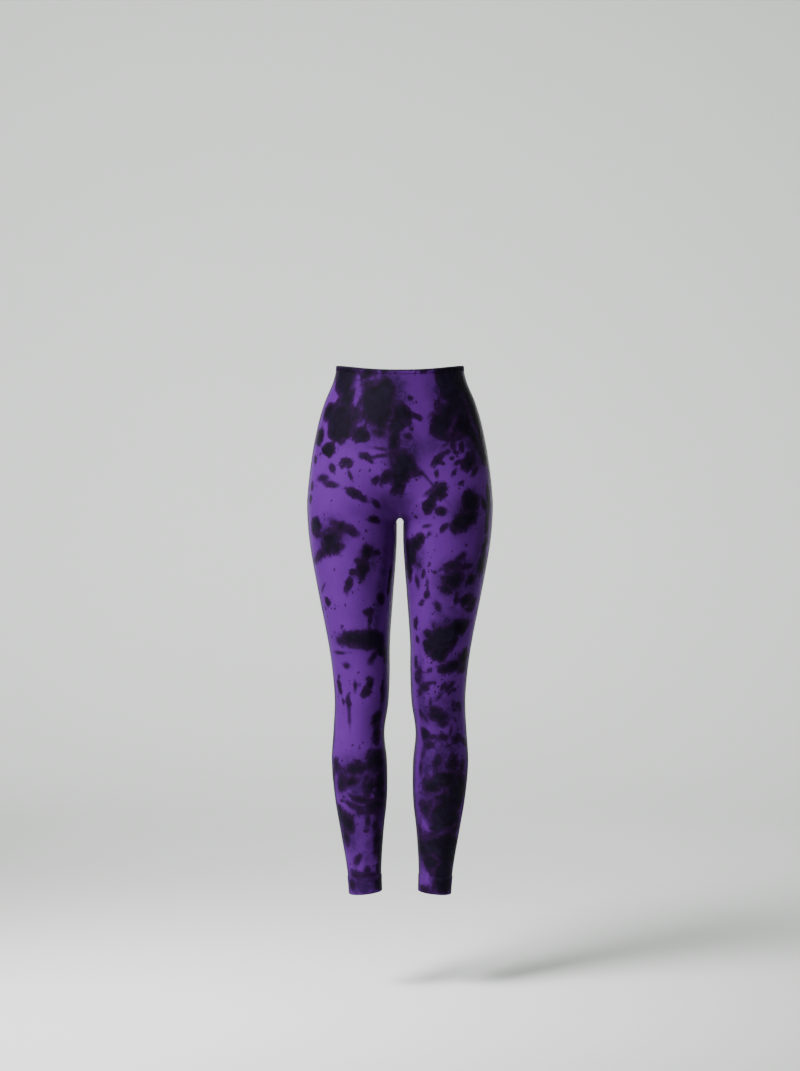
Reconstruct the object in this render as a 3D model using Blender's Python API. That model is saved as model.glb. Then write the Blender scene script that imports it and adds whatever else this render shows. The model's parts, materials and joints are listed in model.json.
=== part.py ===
"""Full-length leggings in stretch knit, filled out as worn by a standing figure.

The pieces are the ones that are cut and sewn: one front panel across both legs, a left and a right back
panel, a narrow elastic binding round the waist, and a turned cuff at each hem. Every piece is a closed wall
of cloth. Waist and hems are open.

Frame: metres, +Z up, the front faces -Y and the wearer's left is +X. The origin is the middle of the waist,
level with the top of the side seams.
"""

import math
from collections import defaultdict
from typing import NamedTuple

import bmesh
import bpy
from mathutils import Vector

# Cloth and seams
CLOTH = 0.0016              # wall of the single knit
SEAM_GAP = 0.0003           # clearance between pieces that are sewn together

# Waist binding: knit turned over a narrow elastic
BINDING_HEIGHT = 0.010
BINDING_PROUD = 0.0003      # how far it stands out from the panels below it
BINDING_WALL = 0.0024
BINDING_TURN = 0.0025       # height over which the turned edge rounds off
BINDING_EDGE = 0.0008       # width of the edge itself
FRONT_DIP = 0.012           # the edge dips this far at the centre front
DIP_REACH = 0.120           # height over which the dip dies out

# Crotch
CROTCH_DROP = 0.278         # below the waist
CROTCH_ROOF = 0.008         # height of the rounded top of the gap between the legs
WAIST_CENTRE = 0.20         # where a half's deepest line lies at the waist, as a share of its width
CENTRE_REACH = 0.110        # height over which that line comes in from the middle of the leg
WAIST_OVERLAP = 0.60        # how far each half's round section reaches past the middle at the waist
OVERLAP_REACH = 0.090       # height over which the two leg tubes grow into each other
MERGE_SHARPNESS = 8.0       # how sharply the centre fills out between two tubes that have merged

# Hems and cuffs
HEM_DROP = 0.9655           # below the waist, in the middle of the cuff
CUFF_HEIGHT = 0.032
CUFF_PROUD = 0.0012         # how far the doubled cuff stands out from the leg
CUFF_WALL = 0.0028
CUFF_ROUND = 0.0010         # rounding of its folded edges
HEM_TILT = 0.006            # the inseam side of a hem is this much higher than its outer side
TILT_REACH = 0.150          # height over which the tilt dies out

# Facets
COLUMNS = 12                # from a side seam to the centre line, or to the inseam
TORSO_ROWS = 12
LEG_ROWS = 23
TORSO_SPACING = 1.6         # above 1, the rows lie closer together towards the crotch
LEG_SPACING = 1.15
ROOF_STEPS = (0.3, 1.0)     # rows in the rounded top of the gap, as shares of its height
CROTCH_CROWDING = 6.0       # just above the crotch only the innermost columns close up on the middle plane
CROWDING_REACH = 0.040      # height over which all columns come to share that evenly
SHARP_ANGLE = math.radians(40)
PLACE_STEP = 1e-5           # corners closer than this are the same corner


class Section(NamedTuple):
    """One level of the garment, measured on a wearer of plain proportions."""

    drop: float             # below the waist
    outer: float            # from the middle to a side seam
    gap: float              # from the middle to an inseam
    front: float            # from the seams forward
    back: float             # from the seams back
    seam: float             # how far the seams lie behind the origin


SECTIONS = (
    #        drop    outer   gap     front   back    seam
    Section(0.000, 0.1164, 0.0062, 0.078, 0.084, 0.000),    # waist
    Section(0.012, 0.1172, 0.0062, 0.079, 0.086, 0.000),    # foot of the elastic
    Section(0.034, 0.1236, 0.0062, 0.084, 0.091, 0.000),
    Section(0.066, 0.1372, 0.0062, 0.090, 0.100, 0.000),    # high hip
    Section(0.110, 0.1501, 0.0062, 0.096, 0.112, 0.000),
    Section(0.176, 0.1623, 0.0062, 0.099, 0.124, 0.000),    # hip
    Section(0.242, 0.1693, 0.0062, 0.097, 0.123, 0.000),    # seat
    Section(0.278, 0.1690, 0.0062, 0.095, 0.114, 0.001),    # crotch
    Section(0.329, 0.1641, 0.0066, 0.091, 0.102, 0.002),    # top of the thigh
    Section(0.417, 0.1483, 0.0128, 0.083, 0.086, 0.003),    # thigh
    Section(0.505, 0.1310, 0.0188, 0.073, 0.072, 0.005),
    Section(0.560, 0.1231, 0.0191, 0.066, 0.062, 0.007),    # above the knee
    Section(0.615, 0.1193, 0.0216, 0.060, 0.053, 0.009),    # knee
    Section(0.670, 0.1219, 0.0290, 0.054, 0.056, 0.013),    # below the knee
    Section(0.725, 0.1249, 0.0243, 0.050, 0.062, 0.017),    # calf
    Section(0.791, 0.1192, 0.0244, 0.045, 0.057, 0.020),
    Section(0.856, 0.1082, 0.0309, 0.040, 0.046, 0.022),    # lower calf
    Section(0.922, 0.0970, 0.0347, 0.036, 0.039, 0.022),
    Section(0.980, 0.0916, 0.0338, 0.035, 0.037, 0.022),    # ankle
)

KNIT_PURPLE = (0.13, 0.045, 0.30, 1.0)
BINDING_DARK = (0.02, 0.012, 0.03, 1.0)


def clear_scene():
    """Remove every object of the open scene."""
    for thing in list(bpy.data.objects):
        bpy.data.objects.remove(thing, do_unlink=True)


def slope(column, index):
    """Slope of a table column at one of its rows, from the rows on both sides."""
    low = max(index - 1, 0)
    high = min(index + 1, len(SECTIONS) - 1)
    rise = getattr(SECTIONS[high], column) - getattr(SECTIONS[low], column)
    return rise / (SECTIONS[high].drop - SECTIONS[low].drop)


def measure(column, drop):
    """Value of a table column at any drop, on a smooth curve through its rows."""
    index = 0
    while index < len(SECTIONS) - 2 and drop > SECTIONS[index + 1].drop:
        index += 1
    above, below = SECTIONS[index], SECTIONS[index + 1]
    span = below.drop - above.drop
    t = (drop - above.drop) / span
    start, end = getattr(above, column), getattr(below, column)
    pull_start = slope(column, index) * span
    pull_end = slope(column, index + 1) * span
    return (
        start * (1 + 2 * t) * (1 - t) ** 2
        + end * t * t * (3 - 2 * t)
        + pull_start * t * (1 - t) ** 2
        - pull_end * t * t * (1 - t)
    )


def fade(distance, reach):
    """1 at distance 0, falling smoothly to 0 at the reach and beyond."""
    left = max(0.0, 1.0 - distance / reach)
    return left * left


def leg_gap(drop):
    """Half the gap between the legs: none above the crotch, with a rounded roof below it."""
    below = drop - CROTCH_DROP
    if below <= 0:
        return 0.0
    roof = 1.0 - min(below / CROTCH_ROOF, 1.0)
    return measure("gap", drop) * math.sqrt(1.0 - roof * roof)


def half_section(drop):
    """Place of a half's deepest line, and its reach outwards and inwards from there.

    Below the crotch the reaches make one leg tube. Above it the inward reach passes the middle plane, where
    the two halves merge.
    """
    above = max(0.0, CROTCH_DROP - drop)
    outer = measure("outer", drop)
    settled = 1.0 - math.exp(-((above / CENTRE_REACH) ** 2))
    centre = (1.0 - settled) * (outer + measure("gap", drop)) / 2 + settled * WAIST_CENTRE * outer
    overlap = WAIST_OVERLAP * outer * (1.0 - math.exp(-above / OVERLAP_REACH))
    return centre, outer - centre, centre - leg_gap(drop) + overlap


def skin_point(drop, column):
    """A point of the outer surface on the +X half.

    column runs from -COLUMNS at the centre front or inseam, through 0 at the side seam, to COLUMNS at the
    centre back or inseam.
    """
    share = abs(column) / COLUMNS
    front = column < 0
    if front:
        drop += FRONT_DIP * math.sin(share * math.pi / 2) ** 2 * fade(drop, DIP_REACH)
    to_hem = max(0.0, HEM_DROP - drop)
    drop += HEM_TILT / 2 * math.cos(math.pi * share) * fade(to_hem, TILT_REACH)

    centre, outer_reach, inner_reach = half_section(drop)
    crossing = centre / inner_reach if drop < CROTCH_DROP else 1.0
    crowding = CROTCH_CROWDING * math.exp(-max(0.0, CROTCH_DROP - drop) / CROWDING_REACH)
    angle = share * (math.pi - math.acos(crossing) * share ** crowding)
    x = centre + math.cos(angle) * (outer_reach if math.cos(angle) > 0 else inner_reach)

    near = max(0.0, 1.0 - math.cos(angle) ** 2)
    far = max(0.0, 1.0 - ((x + centre) / inner_reach) ** 2)
    merged = math.sqrt(math.hypot(near, far))
    overfull = math.sqrt(2.0) * (1.0 - crossing * crossing)
    fullness = (1.0 + overfull ** MERGE_SHARPNESS) ** (0.5 / MERGE_SHARPNESS)
    depth = measure("front" if front else "back", drop) * merged / fullness
    y = measure("seam", drop) + (-depth if front else depth)
    return Vector((x, y, -drop))


def mirrored(point):
    """The same point on the -X half."""
    return Vector((-point.x, point.y, point.z))


def torso_drops():
    """Levels of the panels from the binding to the crotch, closer together towards the crotch."""
    top = BINDING_HEIGHT + SEAM_GAP
    rows = []
    for row in range(TORSO_ROWS):
        left = 1.0 - row / TORSO_ROWS
        rows.append(CROTCH_DROP - (CROTCH_DROP - top) * left ** TORSO_SPACING)
    return rows + [CROTCH_DROP]


def leg_drops():
    """Levels of the panels from the roof of the gap to the cuffs."""
    rows = [CROTCH_DROP + CROTCH_ROOF * step for step in ROOF_STEPS]
    top, bottom = rows[-1], HEM_DROP - CUFF_HEIGHT - SEAM_GAP
    for row in range(1, LEG_ROWS + 1):
        rows.append(top + (bottom - top) * (row / LEG_ROWS) ** LEG_SPACING)
    return rows


def key(point):
    """Place of a point in whole steps, so that shared corners are found again."""
    return tuple(round(value / PLACE_STEP) for value in point)


class Skin:
    """The outer surface of the whole garment as a grid of points, with the direction outwards at each."""

    def __init__(self, drops):
        self.drops = drops
        self.columns = range(-COLUMNS, COLUMNS + 1)
        self.half = {}
        for row in range(len(drops)):
            for column in self.columns:
                self.half[row, column] = self.place(row, column)
        self.outward = self.add_up_normals()

    def place(self, row, column):
        """Point of the grid, with those on the centre lines exactly in the middle plane."""
        point = skin_point(self.drops[row], column)
        if abs(column) == COLUMNS and self.drops[row] <= CROTCH_DROP:
            point.x = 0.0
        return point

    def patch(self, first_row, last_row, columns, mirror):
        """Quads of a range of rows and columns on one half, each wound to face outwards."""
        quads = []
        for row in range(first_row, last_row):
            for column in columns:
                quad = [
                    self.half[row, column],
                    self.half[row + 1, column],
                    self.half[row + 1, column + 1],
                    self.half[row, column + 1],
                ]
                if mirror:
                    quad = [mirrored(quad[corner]) for corner in (0, 3, 2, 1)]
                quads.append(quad)
        return quads

    def add_up_normals(self):
        """Unit direction outwards at every place, from all the facets that meet there."""
        total = defaultdict(Vector)
        last = len(self.drops) - 1
        for mirror in (False, True):
            for a, b, c, d in self.patch(0, last, range(-COLUMNS, COLUMNS), mirror):
                normal = (c - a).cross(d - b)
                for corner in (a, b, c, d):
                    total[key(corner)] += normal
        return {place: normal.normalized() for place, normal in total.items()}

    def moved_out(self, point, distance):
        """A point of the grid moved outwards, or inwards by a negative distance."""
        return point + self.outward[key(point)] * distance


def principled(name, colour, roughness):
    """A plain cloth material."""
    material = bpy.data.materials.new(name)
    material.use_nodes = True
    shader = material.node_tree.nodes["Principled BSDF"]
    shader.inputs["Base Color"].default_value = colour
    shader.inputs["Roughness"].default_value = roughness
    shader.inputs["Metallic"].default_value = 0.0
    return material


def add_object(name, bm, material):
    """Put a finished bmesh into the scene as a named object."""
    mesh = bpy.data.meshes.new(name)
    bm.to_mesh(mesh)
    bm.free()
    mesh.materials.append(material)
    mesh.shade_smooth()
    mesh.set_sharp_from_angle(angle=SHARP_ANGLE)
    thing = bpy.data.objects.new(name, mesh)
    bpy.context.collection.objects.link(thing)
    return thing


def add_panel(name, skin, quads, shift, material):
    """Close a patch of the skin into a wall of cloth: its outer face, its inner face and its cut edges.

    shift moves the whole panel by half the seam gap, away from the panels that it is sewn to.
    """
    bm = bmesh.new()
    outside, inside = {}, {}

    def corner(store, point, depth):
        place = key(point)
        if place not in store:
            store[place] = bm.verts.new(skin.moved_out(point, -depth) + shift)
        return store[place]

    for a, b, c, d in quads:
        for triangle in ((a, b, c), (a, c, d)):
            bm.faces.new([corner(outside, p, 0.0) for p in triangle])
            bm.faces.new([corner(inside, p, CLOTH) for p in reversed(triangle)])

    place_of = {vert: place for place, vert in outside.items()}
    cut_edges = [edge for edge in bm.edges if edge.is_boundary and edge.verts[0] in place_of]
    for edge in cut_edges:
        loop = edge.link_loops[0]
        start, end = loop.vert, loop.link_loop_next.vert
        in_start, in_end = inside[place_of[start]], inside[place_of[end]]
        bm.faces.new((end, start, in_start))
        bm.faces.new((end, in_start, in_end))
    return add_object(name, bm, material)


def add_band(name, skin, rings, material):
    """Loft a closed profile round a tube.

    rings are its corners, outside from the top down and then inside back up.
    """
    bm = bmesh.new()
    loops = [[bm.verts.new(point) for point in ring] for ring in rings]
    for ring, next_ring in zip(loops, loops[1:] + loops[:1]):
        for index in range(len(ring)):
            following = (index + 1) % len(ring)
            bm.faces.new((ring[index], next_ring[index], next_ring[following], ring[following]))
    return add_object(name, bm, material)


def waist_ring(skin, row, distance):
    """Corners round the whole waist on one row of the skin, moved out by a distance."""
    left = [skin.half[row, column] for column in skin.columns]
    right = [mirrored(point) for point in reversed(left[1:-1])]
    return [skin.moved_out(point, distance) for point in left + right]


def leg_ring(skin, row, distance, mirror):
    """Corners round one leg on one row of the skin, moved out by a distance."""
    ring = [skin.half[row, column] for column in range(-COLUMNS, COLUMNS)]
    if mirror:
        ring = [mirrored(point) for point in reversed(ring)]
    return [skin.moved_out(point, distance) for point in ring]


def build():
    """Model the six pieces."""
    clear_scene()
    knit = principled("mottled_knit", KNIT_PURPLE, 0.6)
    edging = principled("waist_elastic", BINDING_DARK, 0.65)

    binding_drops = [0.0, BINDING_TURN, BINDING_HEIGHT]
    cuff_top, hem = HEM_DROP - CUFF_HEIGHT, HEM_DROP
    cuff_drops = [cuff_top, cuff_top + CUFF_ROUND, hem - CUFF_ROUND, hem]
    torso, legs = torso_drops(), leg_drops()
    skin = Skin(binding_drops + torso + legs + cuff_drops)

    first = len(binding_drops)
    last = first + len(torso) + len(legs) - 1
    front, back = range(-COLUMNS, 0), range(COLUMNS)
    apart = SEAM_GAP / 2

    front_quads = skin.patch(first, last, front, False) + skin.patch(first, last, front, True)
    left_quads, right_quads = (skin.patch(first, last, back, mirror) for mirror in (False, True))
    add_panel("front_panel", skin, front_quads, Vector((0.0, -apart, 0.0)), knit)
    add_panel("back_left", skin, left_quads, Vector((apart, apart, 0.0)), knit)
    add_panel("back_right", skin, right_quads, Vector((-apart, apart, 0.0)), knit)

    outside, inside = BINDING_PROUD, BINDING_PROUD - BINDING_WALL
    edge_out = (outside + inside + BINDING_EDGE) / 2
    edge_in = edge_out - BINDING_EDGE
    binding = ((0, edge_out), (1, outside), (2, outside), (2, inside), (1, inside), (0, edge_in))
    rings = [waist_ring(skin, row, distance) for row, distance in binding]
    add_band("waist_binding", skin, rings, edging)

    outside, inside = CUFF_PROUD, CUFF_PROUD - CUFF_WALL
    folded = outside - CUFF_ROUND
    cuff = ((0, folded), (1, outside), (2, outside), (3, folded), (3, inside), (0, inside))
    for name, mirror in (("cuff_left", False), ("cuff_right", True)):
        rings = [leg_ring(skin, last + 1 + row, distance, mirror) for row, distance in cuff]
        add_band(name, skin, rings, knit)


build()
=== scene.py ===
"""Full-length leggings in stain-dyed stretch knit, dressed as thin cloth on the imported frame.

Metres, +Z up: the front faces -Y, the wearer's left is +X, and the origin is the middle of the waist. A place
on the garment is a drop, the height below the waist, and a share, which runs from -1 at the centre front or
the inseam through 0 at the side seam to 1 at the centre back or the inseam. Short tables of strokes are in
millimetres, and say so.
"""

import json
import logging
import math
from collections.abc import Iterable, Iterator
from dataclasses import dataclass, field
from enum import Enum
from functools import lru_cache

import bpy
import numpy as np
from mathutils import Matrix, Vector

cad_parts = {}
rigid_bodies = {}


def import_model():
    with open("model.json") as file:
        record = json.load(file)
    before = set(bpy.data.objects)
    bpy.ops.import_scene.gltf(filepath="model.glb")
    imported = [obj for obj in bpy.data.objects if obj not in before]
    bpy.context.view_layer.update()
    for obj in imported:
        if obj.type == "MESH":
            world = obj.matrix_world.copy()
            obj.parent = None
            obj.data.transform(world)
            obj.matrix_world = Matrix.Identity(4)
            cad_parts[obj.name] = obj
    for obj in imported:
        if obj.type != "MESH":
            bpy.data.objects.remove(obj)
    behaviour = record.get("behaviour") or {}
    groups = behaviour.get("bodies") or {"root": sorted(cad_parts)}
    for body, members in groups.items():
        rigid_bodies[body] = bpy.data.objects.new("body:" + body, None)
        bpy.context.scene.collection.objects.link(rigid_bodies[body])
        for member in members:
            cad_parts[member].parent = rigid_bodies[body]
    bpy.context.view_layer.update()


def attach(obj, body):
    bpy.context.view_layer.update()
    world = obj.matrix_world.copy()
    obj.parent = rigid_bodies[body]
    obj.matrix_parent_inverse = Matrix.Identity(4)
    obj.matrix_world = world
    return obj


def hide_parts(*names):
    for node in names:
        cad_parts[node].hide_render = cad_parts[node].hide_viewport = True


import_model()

Array = np.ndarray
Piece = bpy.types.Object
Pair = tuple[float, float]
Triple = tuple[float, float, float]
MM = 0.001
log = logging.getLogger("leggings")


class Slot(Enum):
    """Material slots of the record."""

    KNIT = "mottled_knit"
    TRIM = "dark_trim"
    CUFF = "cuff_knit"


class Leg(Enum):
    """The wearer's legs, as the sign of X on that side."""

    LEFT = 1
    RIGHT = -1


class Face(Enum):
    """The two halves of the garment, as the sign of Y that they face."""

    FRONT = -1
    BACK = 1


# ---- form


@dataclass(frozen=True)
class Section:
    """One level of the worn garment."""

    drop: float  # below the waist
    outer: float  # from the middle to a side seam
    gap: float  # from the middle to an inseam
    front: float  # from the seams forward
    back: float  # from the seams back
    seam: float  # how far the seams lie behind the origin


SECTIONS = tuple(Section(*row) for row in (
    # drop   outer   gap     front  back   seam
    (0.000, 0.1164, 0.0062, 0.078, 0.084, 0.000),  # waist
    (0.012, 0.1172, 0.0062, 0.079, 0.086, 0.000),  # foot of the elastic
    (0.034, 0.1236, 0.0062, 0.084, 0.091, 0.000),
    (0.066, 0.1372, 0.0062, 0.090, 0.100, 0.000),  # high hip
    (0.110, 0.1501, 0.0062, 0.096, 0.112, 0.000),
    (0.176, 0.1623, 0.0062, 0.099, 0.124, 0.000),  # hip
    (0.242, 0.1693, 0.0062, 0.097, 0.123, 0.000),  # seat
    (0.278, 0.1690, 0.0062, 0.095, 0.114, 0.001),  # crotch
    (0.329, 0.1641, 0.0066, 0.091, 0.102, 0.002),  # top of the thigh
    (0.417, 0.1483, 0.0128, 0.083, 0.086, 0.003),  # thigh
    (0.505, 0.1310, 0.0188, 0.073, 0.072, 0.005),
    (0.560, 0.1231, 0.0191, 0.066, 0.062, 0.007),  # above the knee
    (0.615, 0.1193, 0.0216, 0.060, 0.053, 0.009),  # knee
    (0.670, 0.1219, 0.0290, 0.054, 0.056, 0.013),  # below the knee
    (0.725, 0.1249, 0.0243, 0.050, 0.062, 0.017),  # calf
    (0.791, 0.1192, 0.0244, 0.045, 0.057, 0.020),
    (0.856, 0.1082, 0.0309, 0.040, 0.046, 0.022),  # lower calf
    (0.922, 0.0970, 0.0347, 0.036, 0.039, 0.022),
    (0.980, 0.0916, 0.0338, 0.035, 0.037, 0.022),  # ankle
))


def fade(distance: Array, reach: float) -> Array:
    """1 at distance 0, falling smoothly to 0 at the reach and beyond."""
    return np.clip(1.0 - distance / reach, 0.0, None) ** 2


def smooth(values: Array, start: float, end: float) -> Array:
    """0 below the start, 1 above the end, and smooth between them."""
    share = np.clip((values - start) / (end - start), 0.0, 1.0)
    return share * share * (3 - 2 * share)


def unit(vectors: Array) -> Array:
    """The same directions with length 1."""
    return vectors / np.linalg.norm(vectors, axis=-1, keepdims=True)


@dataclass(frozen=True)
class GarmentForm:
    """The outer surface of the worn garment, from its sections."""

    front_dip: float = 0.012  # the waist edge dips this far at the centre front
    dip_reach: float = 0.120
    crotch_drop: float = 0.278
    crotch_roof: float = 0.008  # height of the rounded top of the gap between the legs
    waist_centre: float = 0.20  # place of a half's deepest line at the waist, as a share of its width
    centre_reach: float = 0.110
    waist_overlap: float = 0.60  # how far a half's round section passes the middle at the waist
    overlap_reach: float = 0.090
    merge_sharpness: float = 8.0
    crowding: float = 6.0  # just above the crotch only the innermost columns close up
    crowding_reach: float = 0.040
    hem_drop: float = 0.9655
    cuff_height: float = 0.032
    hem_tilt: float = 0.006  # a hem's inseam side is this much higher than its outer side
    tilt_reach: float = 0.150
    binding_height: float = 0.010
    normal_steps: Pair = (0.0005, 0.002)  # drop and share over which a slope is measured
    middle_share: float = 0.9999  # from here on a place counts as the middle
    search_shares: int = 241
    search_rounds: int = 3

    def measure(self, column: str, drop: Array) -> Array:
        """A column of the sections at any drop, on a smooth curve through its rows.

        Args:
            column: Name of a field of Section.
            drop: Heights below the waist.

        Returns:
            The measure at each drop.
        """
        rows = np.array([section.drop for section in SECTIONS])
        values = np.array([getattr(section, column) for section in SECTIONS])
        last = len(rows) - 1
        low, high = np.maximum(np.arange(last + 1) - 1, 0), np.minimum(np.arange(last + 1) + 1, last)
        slopes = (values[high] - values[low]) / (rows[high] - rows[low])
        index = np.clip(np.searchsorted(rows, drop, side="left") - 1, 0, last - 1)
        span = rows[index + 1] - rows[index]
        t = (drop - rows[index]) / span
        return (
            values[index] * (1 + 2 * t) * (1 - t) ** 2
            + values[index + 1] * t * t * (3 - 2 * t)
            + slopes[index] * span * t * (1 - t) ** 2
            - slopes[index + 1] * span * t * t * (1 - t)
        )

    def leg_gap(self, drop: Array) -> Array:
        """Half the gap between the legs: none above the crotch, with a rounded roof below it."""
        below = drop - self.crotch_drop
        roof = 1.0 - np.clip(below / self.crotch_roof, 0.0, 1.0)
        return np.where(below > 0, self.measure("gap", drop) * np.sqrt(1.0 - roof * roof), 0.0)

    def points(self, drop: Array, share: Array) -> Array:
        """Points of the surface on the wearer's left.

        Args:
            drop: Heights below the waist at the side seam.
            share: Places round the half, from -1 to 1.

        Returns:
            One point for each pair, in the last axis.
        """
        drop, share = np.broadcast_arrays(np.asarray(drop, float), np.asarray(share, float))
        front, part = share < 0, np.abs(share)
        dip = self.front_dip * np.sin(part * math.pi / 2) ** 2 * fade(drop, self.dip_reach)
        drop = drop + np.where(front, dip, 0.0)
        to_hem = np.maximum(0.0, self.hem_drop - drop)
        drop = drop + self.hem_tilt / 2 * np.cos(math.pi * part) * fade(to_hem, self.tilt_reach)

        above = np.maximum(0.0, self.crotch_drop - drop)
        outer = self.measure("outer", drop)
        settled = 1.0 - np.exp(-((above / self.centre_reach) ** 2))
        centre = (1.0 - settled) * (outer + self.measure("gap", drop)) / 2
        centre = centre + settled * self.waist_centre * outer
        overlap = self.waist_overlap * outer * (1.0 - np.exp(-above / self.overlap_reach))
        outer_reach = outer - centre
        inner_reach = centre - self.leg_gap(drop) + overlap

        crossing = np.where(drop < self.crotch_drop, centre / inner_reach, 1.0)
        crowding = self.crowding * np.exp(-above / self.crowding_reach)
        angle = part * (math.pi - np.arccos(np.clip(crossing, -1.0, 1.0)) * part ** crowding)
        x = centre + np.cos(angle) * np.where(np.cos(angle) > 0, outer_reach, inner_reach)
        near = np.maximum(0.0, 1.0 - np.cos(angle) ** 2)
        far = np.maximum(0.0, 1.0 - ((x + centre) / inner_reach) ** 2)
        overfull = math.sqrt(2.0) * (1.0 - crossing * crossing)
        fullness = (1.0 + overfull ** self.merge_sharpness) ** (0.5 / self.merge_sharpness)
        depth = np.sqrt(np.hypot(near, far)) / fullness
        depth = depth * np.where(front, -self.measure("front", drop), self.measure("back", drop))
        return np.stack([x, self.measure("seam", drop) + depth, -drop], axis=-1)

    def outward(self, drop: Array, share: Array) -> Array:
        """Directions outwards at places away from the crotch, on the wearer's left.

        Args:
            drop: Heights below the waist at the side seam.
            share: Places round the half, from -1 to 1.

        Returns:
            One direction of length 1 for each pair, in the last axis.
        """
        drop, share = np.broadcast_arrays(np.asarray(drop, float), np.asarray(share, float))
        step, turn = self.normal_steps
        down = self.points(drop + step, share) - self.points(np.maximum(drop - step, 0.0), share)
        ahead, behind = np.clip(share + turn, -1, 1), np.clip(share - turn, -1, 1)
        normal = np.cross(down, self.points(drop, ahead) - self.points(drop, behind))
        middle = (np.abs(share) > self.middle_share) & (drop < self.crotch_drop)
        normal[..., 0] = np.where(middle, 0.0, normal[..., 0])
        return unit(normal)

    def find(self, x: float, drop: float, face: Face) -> Pair:
        """The place that is seen from the front or the back.

        Args:
            x: How far it lies from the middle.
            drop: How far it lies below the waist.
            face: The half from which it is seen.

        Returns:
            Its drop at the side seam, and its share.
        """
        shares = np.linspace(0.0, 1.0, self.search_shares) * face.value
        level = drop
        for _ in range(self.search_rounds):
            row = self.points(np.full(shares.shape, level), shares)
            order = np.argsort(row[:, 0])
            share = float(np.interp(abs(x), row[order, 0], shares[order]))
            level += drop + float(self.points(level, share)[2])
        return level, share


# ---- strokes on the form


@dataclass(frozen=True)
class Stroke:
    """A long oval place on the surface, in millimetres, as seen from the front or the back.

    lean is its long axis in degrees, anticlockwise from level. length and width are half its size.
    """

    x: float
    drop: float
    length: float
    width: float
    lean: float
    amount: float = 0.3  # softness of a stain, strength of a wash or spray, or depth of a crease
    face: Face = Face.FRONT

    @lru_cache(maxsize=None)
    def frame(self, form: GarmentForm) -> tuple[Array, Array]:
        """The stroke's place on the form.

        Args:
            form: The surface that carries the stroke.

        Returns:
            Its middle, and its directions along, across and out of the cloth.
        """
        flip = np.array((1.0 if self.x >= 0 else -1.0, 1.0, 1.0))
        level, share = form.find(self.x * MM, self.drop * MM, self.face)
        out = form.outward(level, share) * flip
        level_way = unit(np.cross((0.0, 0.0, 1.0), out))
        up_way = np.cross(out, level_way)
        turn = math.radians(self.lean)
        along = level_way * math.cos(turn) + up_way * math.sin(turn)
        return form.points(level, share) * flip, np.stack([along, np.cross(out, along), out])

    def spread(self, form: GarmentForm, points: Array) -> tuple[Array, Array]:
        """How far each point lies out in the oval.

        Args:
            form: The surface that carries the stroke.
            points: Points of the whole garment's surface.

        Returns:
            1 at the oval's edge and 0 at its middle, and whether each point is on the stroke's own side.
        """
        place, ways = self.frame(form)
        spans = np.array((self.length, self.width, self.length)) * MM
        spread = np.linalg.norm((points - place) @ ways.T / spans, axis=1)
        on_leg = (-points[:, 2] > form.crotch_drop) & (self.drop * MM > form.crotch_drop)
        return spread, ~on_leg | ((points[:, 0] > 0) == (self.x >= 0))


# ---- the dye

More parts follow.
